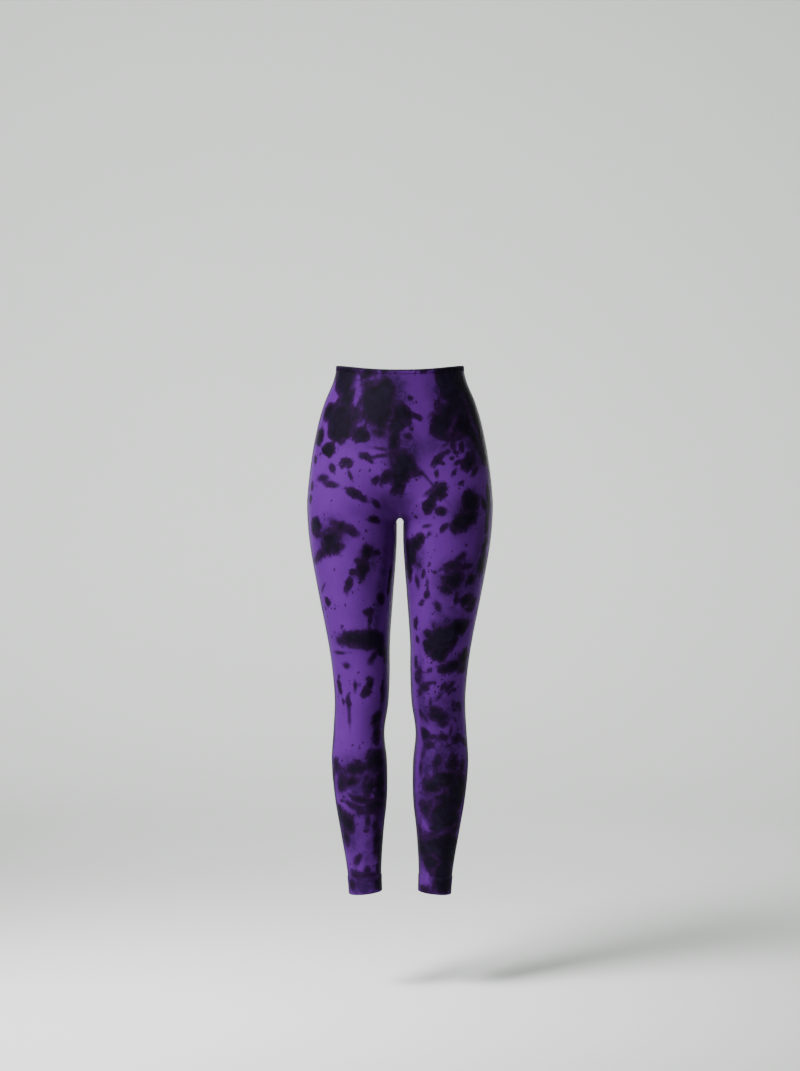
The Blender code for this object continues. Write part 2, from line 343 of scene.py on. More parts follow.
# Strokes of dark dye on the front, in millimetres: x, drop, length, width, lean, and softness if it isn't 0.3.
FRONT_STAINS = (
    # Waist and hip, wearer's right
    (-99, 24, 31, 24.9, 88), (-59, 15, 17, 11.0, 0, 0.5), (-82, 4, 39, 6.4, 0), (-97, 88, 29, 16.5, -20, 0.5),
    (-113, 123, 18, 20.5, 85), (-128, 86, 15, 16.5, -50, 0.8), (-97, 60, 18, 14.6, 80, 0.6),
    (-86, 59, 15, 8.4, 80, 0.6), (-146, 130, 16, 12.8, 85), (-29, 59, 33, 22.9, 90, 0.2),
    (-59, 88, 12, 9.2, 0, 0.6), (-60, 37, 8, 6.4, 0, 0.9), (4, 90, 24, 12.8, -62, 0.2),
    (-15, 102, 18, 12.8, -20, 0.6), (-10, 143, 33, 8.6, 88), (-31, 167, 15, 2.6, 8, 0.4),
    (-31, 155, 11, 2.0, -8, 0.5), (-37, 126, 13, 6.4, -15, 0.8), (-70, 130, 16, 12.8, 0, 0.2),
    (-128, 156, 13, 17.3, 85, 0.1), (-98, 178, 13, 9.9, 0, 0.1), (-122, 188, 8, 5.4, -60, 0.2),
    (-62, 168, 10, 5.5, -20, 0.2), (-53, 176, 5, 2.9, -50), (-154, 172, 7, 6.6, 88, 0.2),
    (-140, 207, 11, 5.9, 0, 0.6), (-124, 218, 14, 4.4, -10, 0.4), (-89, 203, 8, 2.4, -65),
    (-42, 210, 8, 5.9, 60, 0.2), (6, 172, 14, 11.5, -15), (2, 201, 18, 15.6, 70, 0.4),
    (23, 188, 16, 7.3, -62, 0.2), (5, 223, 13, 4.0, 80, 0.4), (-18, 209, 9, 4.4, -45, 0.7),
    (-11, 225, 9, 2.7, 70, 0.5), (15, 133, 6, 5.4, 0, 0.6), (18, 64, 4, 4.0, 0, 0.1),
    (29, 97, 9, 5.1, -28, 0.2), (20, 120, 3, 2.7, 0), (-28, 11, 7, 7.3, 0, 0.5), (41, 11, 7, 6.2, 0, 0.8),
    (-79, 236, 19, 7.3, -30, 0.2), (-42, 254, 9, 4.4, -45), (-46, 282, 12, 6.2, -15, 0.1),
    (-160, 221, 7, 5.9, -75), (-162, 243, 7, 7.3, -80),
    # Waist and hip, wearer's left
    (90, 26, 31, 29.5, 85, 0.1), (110, 48, 40, 45.5, -65, 0.1), (123, 92, 40, 43.7, -75, 0.1),
    (92, 88, 31, 18.3, -30, 0.1), (71, 101, 18, 12.8, 30, 0.5), (86, 126, 20, 15.6, 0, 0.2),
    (67, 126, 10, 7.3, 0, 0.4), (105, 132, 13, 5.5, 20, 0.2), (141, 128, 27, 22.0, -70, 0.1),
    (152, 159, 24, 18.3, -72, 0.1), (95, 146, 7, 5.0, 60, 0.2), (85, 160, 5, 3.4, 40, 0.2),
    (93, 171, 4, 2.4, 20, 0.2), (111, 150, 8, 4.6, 80, 0.2), (102, 161, 5, 2.8, -10, 0.2),
    (81, 148, 5, 2.4, 30), (68, 174, 13, 6.8, 52, 0.2), (124, 177, 19, 10.8, 50, 0.2),
    (104, 179, 8, 2.7, 30, 0.2), (77, 181, 3, 2.6, 0, 0.2), (65, 199, 6, 3.6, 88, 0.2), (97, 198, 6, 2.7, 55),
    (135, 194, 11, 3.7, 40, 0.4), (37, 199, 4, 3.3, 0), (48, 207, 13, 0.7, -50, 0.7), (110, 216, 5, 2.6, 30),
    (72, 229, 15, 10.9, 70, 0.2), (59, 240, 12, 8.0, 60, 0.2), (52, 253, 12, 8.8, 50, 0.2),
    (48, 264, 8, 8.0, 80), (73, 267, 9, 7.3, 0, 0.4), (51, 232, 7, 2.2, 40, 0.5), (28, 277, 3, 2.7, 0),
    (47, 293, 6, 2.4, 10, 0.4), (79, 296, 9, 4.0, 52), (128, 249, 21, 17.0, 80, 0.1),
    (115, 283, 25, 15.5, 46, 0.1), (100, 297, 10, 6.5, 10, 0.1), (131, 274, 16, 9.0, 85),
    (152, 253, 13, 6.6, -62), (161, 243, 22, 8.8, 88, 0.2), (154, 328, 15, 8.8, 80, 0.4),
    (148, 364, 18, 13.0, 72), (159, 282, 26, 6.6, 86),
    # Joins at the waist
    (-112, 12, 14, 9, 85), (-108, 2, 12, 6, 0, 0.4), (108, 4, 14, 7, 0, 0.4), (-51, 71, 40, 18.3, 90),
    (-27, 96, 29, 23.8, 0), (1, 88, 17, 12.5, -62), (-114, 98, 26, 18.3, 80, 0.4), (-101, 118, 24, 16.5, 85),
    (-62, 16, 16, 12.8, 0), (-98, 36, 37, 14.6, 90, 0.2), (-4, 110, 22, 14.5, 55), (2, 188, 28, 18.0, 75),
    (12, 176, 15, 11.0, -10, 0.2), (-87, 78, 18, 16.5, 0, 0.2), (83, 113, 29, 22.0, 0),
    (-4, 217, 18, 9.2, 80), (-22, 204, 15, 9.2, 60),
    # Thigh, wearer's right
    (-153, 295, 17, 17.5, 85, 0.6), (-132, 309, 25, 7.3, 0, 0.6), (-126, 320, 26, 18.1, 55, 0.5),
    (-145, 346, 26, 6.6, 25, 0.6), (-103, 295, 23, 7.0, -25, 0.6), (-90, 303, 12, 5.5, -35),
    (-115, 333, 13, 10.9, 60, 0.5), (-59, 340, 14, 11.6, 75, 0.2), (-66, 368, 21, 9.8, 78, 0.2),
    (-43, 341, 7, 5.1, 0, 0.5), (-76, 355, 5, 4.2, 0), (-84, 376, 7, 5.1, 0, 0.2),
    (-92, 399, 13, 7.4, 70, 0.2), (-18, 388, 18, 6.0, 86, 0.5), (-21, 410, 8, 4.2, 76, 0.6),
    (-34, 424, 10, 8.0, -45, 0.1), (-132, 430, 7, 8.3, 70, 0.2), (-140, 406, 10, 1.8, 40, 0.4),
    (-55, 448, 9, 7.0, 0), (-54, 463, 10, 3.2, 85),
    # Thigh, wearer's left
    (28, 326, 28, 11.0, 30, 0.2), (15, 336, 17, 11.0, 86, 0.2), (20, 348, 20, 15.8, 80, 0.2),
    (16, 368, 20, 12.4, 86), (34, 363, 6, 3.1, 0, 0.2), (42, 379, 7, 3.3, 62, 0.2), (31, 393, 9, 4.8, -75),
    (49, 398, 9, 2.0, 88), (47, 418, 6, 4.2, 50), (40, 428, 4, 2.4, 0), (38, 434, 5, 2.7, 0),
    (62, 376, 3, 2.6, 0, 0.2), (53, 362, 3, 2.0, 70), (68, 439, 8, 4.5, -60, 0.4),
    (95, 364, 18, 7.7, 20, 0.2), (106, 351, 11, 4.8, 40, 0.4), (97, 390, 18, 15.6, 30, 0.2),
    (85, 406, 10, 9.2, 0), (118, 366, 13, 4.4, 12), (79, 386, 5, 4.4, 0), (127, 389, 12, 8.0, 52, 0.2),
    (101, 423, 11, 3.6, 86, 0.4), (121, 426, 14, 7.7, 20), (132, 432, 8, 8.9, 60), (126, 443, 9, 4.4, 0),
    (28, 470, 10, 7.1, 80), (32, 499, 6, 4.3, -62), (29, 540, 10, 5.0, 86, 0.4),
    # Knee, wearer's right
    (-84, 496, 24, 13.7, 0, 0.6), (-51, 498, 30, 16.5, -6, 0.5), (-35, 516, 13, 10.4, -60, 0.4),
    (-27, 527, 11, 6.1, 86), (-106, 501, 10, 7.0, 0, 0.7), (-108, 522, 12, 2.2, 0, 0.4),
    (-48, 529, 13, 5.0, 60, 0.7), (-97, 545, 6, 4.4, 0, 0.7), (-110, 583, 12, 6.4, -80),
    (-111, 567, 4, 2.4, 60), (-81, 582, 8, 3.0, 86), (-55, 578, 12, 7.2, 82, 0.2), (-60, 593, 9, 8.6, 0, 0.2),
    (-67, 599, 5, 4.2, 0), (-32, 587, 11, 4.5, 86), (-32, 606, 10, 4.0, 86, 0.5), (-93, 610, 10, 4.6, 88),
    (-92, 630, 15, 2.0, 88, 0.6), (-103, 612, 4, 2.2, -75, 0.4), (-42, 644, 15, 9.6, 80, 0.8),
    (-42, 670, 15, 8.7, 85, 0.8),
    # Knee, wearer's left
    (79, 496, 31, 22.9, 33, 0.1), (104, 478, 27, 13.7, 15, 0.2), (68, 522, 16, 14.7, 50, 0.2),
    (54, 509, 15, 11.8, 60, 0.4), (51, 488, 9, 7.3, 0), (60, 472, 5, 3.1, 80, 0.4),
    (116, 531, 16, 14.3, 48, 0.5), (99, 545, 21, 8.4, 12, 0.6), (81, 551, 12, 7.3, 0), (112, 552, 14, 6.6, 0),
    (34, 559, 9, 7.6, 40, 0.4), (32, 572, 7, 6.4, 0, 0.6), (52, 554, 6, 2.4, 40), (44, 585, 8, 6.4, 0, 0.4),
    (37, 593, 7, 4.4, 60, 0.4), (53, 577, 5, 2.6, 12), (62, 576, 3, 2.2, 0, 0.2), (78, 583, 6, 2.8, 60, 0.2),
    (86, 588, 5, 2.4, 62, 0.2), (93, 580, 7, 3.8, 35), (98, 589, 4, 2.6, 0), (90, 595, 5, 2.4, 50),
    (71, 602, 7, 2.2, 48, 0.4), (55, 613, 7, 2.5, 82, 0.4), (96, 614, 5, 3.0, 80), (105, 617, 6, 3.4, 0),
    (109, 625, 5, 3.2, 60), (99, 626, 4, 2.4, 20), (69, 637, 17, 9.0, -6, 0.5), (62, 627, 9, 7.3, 0, 0.5),
    (78, 651, 7, 5.5, 0, 0.6), (38, 633, 8, 3.6, -80, 0.5), (46, 642, 6, 2.4, -60, 0.6),
    (46, 672, 12, 8.4, -70, 0.6), (51, 692, 12, 6.6, 24, 0.2), (58, 676, 8, 5.0, 0), (79, 676, 9, 6.8, 0),
    (103, 680, 11, 8.0, 20, 0.2), (118, 688, 10, 5.4, -30, 0.4), (88, 692, 6, 2.8, 10, 0.4),
    (92, 666, 7, 2.0, 80, 0.6),
    # Calf, wearer's right
    (-117, 730, 13, 8.8, 82, 0.4), (-108, 761, 16, 9.3, 80, 0.8), (-82, 734, 19, 11.0, 12, 0.4),
    (-90, 758, 16, 9.2, 20, 0.4), (-44, 725, 20, 19.5, 60, 0.5), (-42, 706, 15, 8.4, 0, 0.7),
    (-57, 763, 16, 11.6, 80), (-37, 763, 24, 12.2, 88), (-66, 792, 22, 7.3, -16),
    (-43, 800, 30, 10.2, 30, 0.2), (-76, 805, 10, 4.8, -12), (-53, 813, 16, 6.2, 0, 0.4),
    (-35, 794, 26, 8.9, 88, 0.2), (-106, 794, 5, 2.6, 0), (-91, 800, 8, 4.4, -30, 0.6),
    (-110, 818, 13, 12.4, -70, 0.6), (-96, 834, 19, 15.4, -60, 0.4), (-98, 862, 15, 8.5, -76),
    (-58, 829, 12, 4.6, 86, 0.4), (-63, 849, 4, 2.9, 0), (-44, 838, 10, 6.7, 80, 0.6),
    (-42, 866, 22, 7.4, 86, 0.6), (-36, 880, 29, 7.8, 87, 0.4), (-77, 900, 10, 5.4, 60, 0.6),
    (-60, 930, 20, 4.4, 0, 0.6), (-80, 930, 12, 6.0, -20, 0.5), (-86, 948, 8, 9.0, 0, 0.6),
    (-60, 921, 6, 4.4, 70, 0.7), (-38, 946, 12, 14.0, 86, 0.5), (-40, 920, 9, 5.8, 86, 0.6),
    # Calf, wearer's left
    (67, 721, 16, 7.0, 70, 0.2), (94, 727, 17, 12.8, 85), (86, 754, 30, 16.5, 5), (58, 765, 17, 13.5, 10),
    (104, 776, 40, 20.5, 86, 0.2), (77, 800, 31, 20.1, 40, 0.2), (46, 807, 16, 9.8, -60),
    (86, 834, 40, 25.7, 78, 0.2), (57, 822, 22, 8.1, -58), (66, 873, 31, 21.0, 0), (42, 878, 20, 21.4, 80),
    (92, 886, 27, 29.9, 80, 0.2), (81, 926, 26, 20.0, 86, 0.1), (55, 906, 17, 12.1, -30, 0.2),
    (52, 924, 13, 5.3, 80), (79, 948, 21, 16.5, 0, 0.2), (46, 957, 16, 4.8, -12, 0.4),
    (35, 941, 13, 5.9, 86, 0.5), (46, 759, 15, 5.2, 86, 0.4), (38, 734, 9, 3.6, 80, 0.6),
    (113, 732, 11, 6.3, 86, 0.8), (37, 853, 15, 6.1, -75, 0.4), (42, 708, 7, 3.5, 60, 0.6),
)

# Places that a fold or a tie kept clear, in millimetres: the same.
CLEARED = (
    (-76, 46, 32, 7.5, 88, 0.2), (-79, 68, 16, 8.5, 75), (-121, 59, 11, 14.6, 60, 0.8),
    (-20, 108, 11, 1.8, 70, 0.5), (48, 789, 15, 2.6, -15, 0.6), (55, 816, 16, 2.0, 70, 0.8),
    (46, 838, 16, 5.9, -55), (50, 937, 20, 9.5, -72, 0.4), (31, 919, 9, 8.8, 80, 0.5),
    (84, 716, 13, 2.6, 60, 0.5), (73, 853, 22, 2.2, 25, 0.8), (-70, 747, 13, 3.0, 5, 0.7),
    (-96, 776, 18, 4.2, 20, 0.6), (-62, 780, 20, 2.8, -18, 0.7), (-55, 750, 9, 2.8, 60, 0.8),
    (-53, 787, 18, 1.8, -15, 0.8), (-130, 302, 20, 1.6, 5, 0.6), (-143, 326, 13, 2.7, 60, 0.6),
    (132, 106, 26, 3.7, -75, 0.8), (119, 22, 15, 5.9, -60, 0.9), (95, 112, 11, 2.4, 60, 0.7),
    (124, 721, 22, 7.3, 86, 0.7), (121, 794, 29, 5.9, 84, 0.8),
)

# Thin washes of dye on the front, some of them painted shade, in millimetres: x, drop, length, width, lean,
# strength.
FRONT_WASHES_AND_SHADE = (
    # Waist and hip
    (-87, 53, 63, 26, 88, 0.8), (-27, 71, 78, 48, 85, 0.85), (101, 66, 83, 50, -80, 0.9),
    (4, 167, 48, 37, 80, 0.75), (130, 135, 59, 24, -75, 0.8), (72, 146, 44, 28, 15, 0.45),
    # (-7, 249) is painted shade between the thighs at the crotch.
    (-100, 107, 33, 24, 0, 0.5), (-7, 249, 44, 24, 0, 0.3), (-72, 135, 56, 26, 0, 0.2),
    # Thighs
    (-127, 308, 44, 37, 30, 0.6), (-60, 357, 37, 22, 80, 0.5), (119, 266, 50, 33, 62, 0.6),
    # (-34, 408), (-50, 400) and (141, 353) are painted shade along the edges of the thighs and on the inner
    # half of the wearer's right thigh.
    (101, 384, 44, 39, 20, 0.55), (33, 353, 48, 17, 82, 0.55), (-34, 408, 111, 13, 84, 0.5),
    (-50, 400, 150, 36, 84, 0.16), (81, 426, 74, 33, 80, 0.3), (141, 353, 92, 15, 85, 0.4),
    # Knees
    (-72, 499, 57, 20, 0, 0.55), (83, 484, 52, 35, 30, 0.6), (100, 539, 44, 18, 0, 0.45),
    # (-31, 608) and (38, 590) are painted shade along the inner edges of the knees.
    (65, 593, 56, 48, 0, 0.3), (-31, 608, 111, 11, 86, 0.45), (72, 635, 48, 30, 10, 0.5),
    (38, 590, 92, 11, 86, 0.4), (105, 672, 41, 15, 80, 0.4),
    # Calves
    # (-34, 790) and (42, 790) are painted shade along the inner edges of the calves.
    (-76, 750, 54, 46, 0, 0.75), (-101, 848, 44, 24, -72, 0.55), (-34, 790, 111, 15, 87, 0.6),
    (76, 775, 96, 46, 86, 0.85), (69, 885, 63, 50, 0, 0.9), (58, 688, 50, 26, 0, 0.3),
    (42, 790, 111, 13, 86, 0.45), (-69, 946, 41, 22, 0, 1.0), (76, 943, 33, 28, 0, 0.9),
    (-51, 881, 56, 13, 84, 0.3), (-62, 900, 36, 7, 86, 0.3), (-80, 868, 66, 34, 86, 0.3),
    (-62, 812, 50, 30, 0, 0.35),
)

# Sprays of small drops on the front, in millimetres: x, drop, length, width, lean, density.
FRONT_SPRAYS = (
    (45, 388, 46, 22, 84, 0.62), (98, 158, 32, 20, 20, 0.6), (-153, 226, 26, 12, 85, 0.6),
    (150, 345, 28, 12, 80, 0.5), (128, 434, 24, 18, 0, 0.6), (62, 588, 44, 32, 0, 0.5),
    (-62, 590, 42, 26, 85, 0.28), (-94, 606, 40, 14, 85, 0.35), (4, 226, 26, 14, 0, 0.45),
    (-62, 182, 26, 18, 20, 0.3), (104, 690, 26, 20, 0, 0.5), (-80, 806, 36, 20, 0, 0.3),
    (46, 552, 36, 18, 80, 0.5), (52, 292, 30, 20, 0, 0.22), (-104, 430, 40, 26, 80, 0.14),
    (82, 640, 36, 26, 0, 0.45), (-26, 28, 30, 18, 0, 0.12), (-42, 344, 26, 14, 85, 0.25),
    (-64, 830, 40, 22, 85, 0.35), (90, 560, 26, 14, 10, 0.4), (60, 440, 34, 20, 80, 0.25),
    (-120, 250, 30, 22, 0, 0.16), (-30, 182, 22, 16, 10, 0.4), (28, 100, 20, 26, 80, 0.12),
)

# Bursts of strokes on the back, in millimetres: x, drop, reach, strokes, lean, and softness if it isn't 0.3.
BACK_BURSTS = (
    # Waist and seat
    (-90, 40, 44, 12, 80), (-34, 34, 30, 8, 20, 0.4), (40, 46, 34, 9, 65, 0.2), (96, 62, 46, 13, -75, 0.2),
    (4, 96, 26, 7, 80), (-62, 108, 30, 8, 40, 0.2), (-118, 128, 28, 7, -60, 0.4), (66, 132, 26, 7, 30),
    (128, 150, 26, 7, 80, 0.4), (-24, 156, 20, 5, 10), (30, 182, 20, 5, -40, 0.5), (-88, 190, 32, 9, 60, 0.2),
    (88, 208, 34, 9, -30), (-142, 220, 22, 6, 85, 0.4), (-38, 232, 18, 5, -20), (42, 250, 16, 4, 50),
    (146, 236, 20, 5, 80), (0, 214, 12, 3, 10, 0.5),
    # Thighs
    (-98, 286, 34, 9, 35, 0.5), (-50, 318, 20, 5, 80), (-132, 342, 24, 6, -60), (-84, 382, 28, 7, 20, 0.2),
    (-44, 410, 20, 5, 75, 0.4), (-112, 436, 22, 6, -30), (-70, 452, 14, 4, 40, 0.4),
    (72, 292, 32, 8, -45, 0.2), (128, 316, 26, 7, 80), (46, 346, 22, 6, 60, 0.4), (96, 376, 36, 10, 20, 0.2),
    (58, 424, 24, 6, -30), (110, 452, 26, 7, 50, 0.4), (144, 392, 18, 5, 85, 0.4),
    # Backs of the knees
    (-76, 496, 32, 9, 0, 0.5), (-106, 540, 20, 5, 70), (-52, 568, 20, 5, 85, 0.4),
    (-90, 602, 18, 4, -70, 0.4), (-62, 640, 18, 4, 30, 0.5), (72, 504, 34, 9, 15), (104, 540, 22, 6, 45, 0.4),
    (50, 560, 20, 5, -50, 0.4), (90, 596, 26, 7, 0, 0.4), (56, 634, 22, 6, -65, 0.4), (108, 648, 20, 5, 80),
    # Calves
    (-70, 690, 28, 8, 60, 0.4), (-98, 722, 24, 6, 80, 0.5), (-84, 752, 38, 11, 20),
    (-52, 786, 28, 8, 70, 0.2), (-92, 812, 24, 6, -40, 0.5), (-80, 850, 24, 6, -60, 0.4),
    (-52, 880, 22, 6, 60, 0.5), (-74, 942, 32, 10, 0, 0.4), (70, 694, 32, 9, -20), (104, 716, 24, 6, 70),
    (88, 754, 42, 12, 80, 0.2), (54, 780, 34, 9, -50), (98, 806, 28, 8, 85), (74, 838, 42, 12, 75, 0.2),
    (50, 888, 30, 8, 30), (86, 900, 26, 7, 80), (76, 942, 34, 11, 0, 0.2),
    # Behind the side seams
    (150, 118, 22, 6, 80), (160, 196, 24, 7, 85, 0.2), (162, 290, 24, 7, 80), (150, 350, 20, 5, -80, 0.4),
    (138, 440, 22, 6, 75), (126, 505, 20, 5, 85), (116, 592, 20, 5, -80, 0.4), (120, 688, 22, 6, 80),
    (112, 862, 20, 5, 85), (-152, 168, 22, 6, -80, 0.4), (-161, 284, 24, 7, 85), (-142, 398, 22, 6, 80),
    (-126, 472, 20, 5, 85, 0.4), (-116, 566, 18, 5, -75, 0.4), (-117, 652, 20, 5, 85),
    (-119, 716, 22, 6, 80, 0.4), (-110, 790, 20, 5, 85, 0.4), (-98, 884, 20, 5, -80, 0.4),
)

# Half width of the dark lines along the seams, in millimetres, from the waist down: painted shade that darkens
# the edges of the legs and hips as seen from the front, laid like dye pooled at the seams.
SEAM_SHADE_LINES = (
    # drop, right side, left side, right inseam, left inseam
    (0, 14, 24, 0, 0),
    (120, 19, 31, 0, 0),
    (240, 23, 30, 2, 2),
    (330, 23, 26, 15, 19),
    (440, 22, 23, 20, 21),
    (560, 20, 22, 22, 22),
    (660, 21, 22, 23, 24),
    (760, 21, 22, 23, 24),
    (860, 18, 19, 21, 21),
    (970, 14, 15, 17, 17),
)


@dataclass(frozen=True)
class Burst:
    """Strokes and drops of dye thrown about a place on the back, in millimetres and degrees."""

    x: float
    drop: float
    reach: float
    count: int
    lean: float
    softness: float = 0.3
    lengths: Pair = (0.24, 0.64)  # of the strokes, as shares of the reach
    widths: Pair = (0.3, 0.76)  # of the strokes, as shares of their lengths
    scatter: float = 0.47  # of their places, as a share of the reach
    narrowing: float = 0.8  # of that scatter across the leg
    turning: float = 38.0
    softening: float = 0.15
    soft_limits: Pair = (0.05, 0.9)
    drop_places: Pair = (0.7, 1.6)  # as shares of the reach
    drop_lengths: Pair = (2.0, 6.5)
    drop_widths: Pair = (0.45, 0.95)  # as shares of their lengths
    drop_turning: float = 90.0
    drop_softness: float = 0.25
    wash_count: int = 5  # so many strokes leave a thin wash under them
    wash_spans: Pair = (1.15, 0.85)  # its length and width, as shares of the reach
    wash_strength: Pair = (0.12, 0.15)  # its strength for each stroke, and how much less

    def strokes(self, rng: np.random.Generator) -> list[Stroke]:
        """The burst's strokes, and then its drops.

        Args:
            rng: The source of its chances.

        Returns:
            Strokes on the back.
        """
        thrown = []
        for _ in range(self.count):
            length = self.reach * rng.uniform(*self.lengths)
            width = length * rng.uniform(*self.widths)
            away, turn = self.reach * self.scatter * rng.normal(size=2), self.lean + self.turning * rng.normal()
            soft = float(np.clip(self.softness + self.softening * rng.normal(), *self.soft_limits))
            x, drop = self.x + away[0] * self.narrowing, self.drop + away[1]
            thrown.append(Stroke(x, drop, length, width, turn, soft, Face.BACK))
        for _ in range(2 + self.count // 3):
            turn = rng.uniform(0.0, 2 * math.pi)
            away = self.reach * rng.uniform(*self.drop_places) * np.array((math.cos(turn), math.sin(turn)))
            length = rng.uniform(*self.drop_lengths)
            width = length * rng.uniform(*self.drop_widths)
            lean = self.drop_turning * rng.normal()
            x, drop = self.x + away[0], self.drop + away[1]
            thrown.append(Stroke(x, drop, length, width, lean, self.drop_softness, Face.BACK))
        return thrown

    def washes(self) -> list[Stroke]:
        """The thin wash under the burst, or nothing where its strokes are few."""
        if self.count < self.wash_count:
            return []
        length, width = (self.reach * span for span in self.wash_spans)
        strength = self.wash_strength[0] * self.count - self.wash_strength[1]
        return [Stroke(self.x, self.drop, length, width, self.lean, strength, Face.BACK)]


@dataclass(frozen=True)
class DyeBath:
    """How the dark dye took on the cloth, with painted shade laid like it along the seams and in a few washes:
    its strokes, as depths in millimetres inside their edges.
    """

    form: GarmentForm
    join: float = 1.2  # softness of the join between strokes
    lowest: float = -40.0
    least: float = 1e-12  # weight of no dye at all
    reach: float = 45.0  # height over which a stroke acts beyond its ends, in millimetres
    length_reach: float = 1.6  # and the share of its half length that counts as its end
    rag_share: float = 0.42  # how far an edge wanders, as a share of a stroke's width
    rag_limits: Pair = (0.5, 5.0)
    line_softness: float = 0.9
    line_rag: float = 4.0
    line_share: float = 0.5  # the solid part of the painted shade lines along the seams, the rest being a thin wash of painted shade
    seam_shade_wash: float = 0.8
    line_fade: Pair = (-7.0, 13.0)  # depths over which that wash comes on
    line_sway: float = 2.2  # how far the side lines wander, in millimetres
    sway_waves: tuple = ((31.0, 2.1, 1.0), (13.0, 4.0, 0.7))  # length, start on the left side, share
    behind_share: float = 0.5  # how much narrower they are behind the seams
    behind_reach: float = 0.02  # and how far behind a seam they have narrowed, in metres
    wash_edge: float = 1.35  # where a wash ends, as a spread
    wash_limit: float = 0.9
    clear_start: float = -1.0  # depth at which a wash begins to clear, in millimetres
    clear_end: float = 3.0
    spatter_reach: float = 16.0  # distance from large strokes over which drops thin out
    spatter_width: float = 6.0  # a stroke this wide throws drops
    spatter_share: float = 0.22
    spray_fade: Pair = (1.9, 1.5)  # density at a spray's middle, and its fall outwards
    seed: int = 41

    def strokes(self) -> list[Stroke]:
        """The strokes of the front, and those of the back, thrown in bursts of like scale and density."""
        rng = np.random.default_rng(self.seed)
        back = [stroke for row in BACK_BURSTS for stroke in Burst(*row).strokes(rng)]
        return [Stroke(*row) for row in FRONT_STAINS] + back

    def laid(self, strokes: Iterable[Stroke], points: Array) -> Iterator[tuple[Stroke, slice, Array, Array]]:
        """Lay strokes on the points one by one.

        Args:
            strokes: The strokes.
            points: Points of the surface, in order of height.

        Yields:
            A stroke, the run of the points that it can reach, and what its spread method says of them.
        """
        for stroke in strokes:
            middle, reach = -stroke.drop * MM, (self.length_reach * stroke.length + self.reach) * MM
            near = slice(*np.searchsorted(points[:, 2], (middle - reach, middle + reach)))
            yield stroke, near, *stroke.spread(self.form, points[near])

    def washes(self, points: Array, line: Array) -> Array:
        """Strength of the thin washes of dye, and of the painted shade in a few front washes and along the
        fringes of the seam lines.

        Args:
            points: Points of the surface.
            line: Depth of each inside the painted shade lines along the seams.

        Returns:
            Strengths from 0 to 1.
        """
        washes = [Stroke(*row) for row in FRONT_WASHES_AND_SHADE]
        washes += [wash for row in BACK_BURSTS for wash in Burst(*row).washes()]
        # The fringes of the seam lines start as a thin wash of painted shade.
        bare = 1.0 - self.seam_shade_wash * smooth(line, *self.line_fade)
        for wash, near, spread, own in self.laid(washes, points):
            strength = min(wash.amount, self.wash_limit) * smooth(self.wash_edge - spread, 0.0, 1.0)
            bare[near] *= 1.0 - np.where(own, strength, 0.0)
        return 1.0 - bare

    def seam_shade_depth(self, points: Array, to_side: Array, to_inseam: Array, share: float = 1.0) -> Array:
        """Depth inside the dark lines of painted shade along the seams, which darken the edges of the legs and
        hips as seen from the front.

        Args:
            points: Points of the surface.
            to_side: Distance of each to its side seam, along the cloth.
            to_inseam: The same to its inseam, or to the centre line above the crotch.
            share: The part of the lines' width that counts.

        Returns:
            Millimetres inside the nearest line's edge.
        """
        rows = np.array(SEAM_SHADE_LINES, float)
        drop, left = -points[:, 2] / MM, points[:, 0] > 0
        right_side, left_side, right_inseam, left_inseam = (
            np.interp(drop, rows[:, 0], column) for column in rows[:, 1:].T)
        side, inner = np.where(left, left_side, right_side), np.where(left, left_inseam, right_inseam)
        behind = np.clip((points[:, 1] - self.form.measure("seam", drop * MM)) / self.behind_reach, 0.0, 1.0)
        sway = sum(part * np.sin(drop / length + start * left) for length, start, part in self.sway_waves)
        side = side * share * (1.0 - self.behind_share * behind) + self.line_sway * sway
        on_leg = drop > self.form.crotch_drop / MM
        inner_depth = np.where(on_leg, inner * share - to_inseam / MM, self.lowest)
        return np.maximum(side - to_side / MM, inner_depth)

    def spatter(self, points: Array, from_large: Array) -> Array:
        """Density of small drops: near large strokes, and where a spray fell.

        Args:
            points: Points of the surface, in order of height.
            from_large: Depth of each inside the large strokes.

        Returns:
            The share of places that caught a drop.
        """
        spatter = self.spatter_share * np.exp(np.minimum(from_large, 0.0) / self.spatter_reach)
        middle, fall = self.spray_fade
        for spray, near, spread, own in self.laid((Stroke(*row) for row in FRONT_SPRAYS), points):
            density = np.where(own, spray.amount * np.clip(middle - fall * spread, 0.0, 1.0), 0.0)
            spatter[near] = np.maximum(spatter[near], density)
        return spatter

    def soak(self, points: Array, to_side: Array, to_inseam: Array) -> tuple[Array, Array, Array]:
        """How the dye took at points of the surface, with the painted shade along the seams and in a few
        washes.

        Args:
            points: Points of the surface.
            to_side: Distance of each to its side seam, along the cloth.
            to_inseam: The same to its inseam, or to the centre line above the crotch.

        Returns:
            Depth inside the edge of the dye and of the painted seam shade, with the softness and raggedness of
            that edge, then the share of spattered drops, and the strength of thin washes of dye and of painted
            shade.
        """
        order = np.argsort(points[:, 2], kind="stable")
        points, to_side, to_inseam = points[order], to_side[order], to_inseam[order]
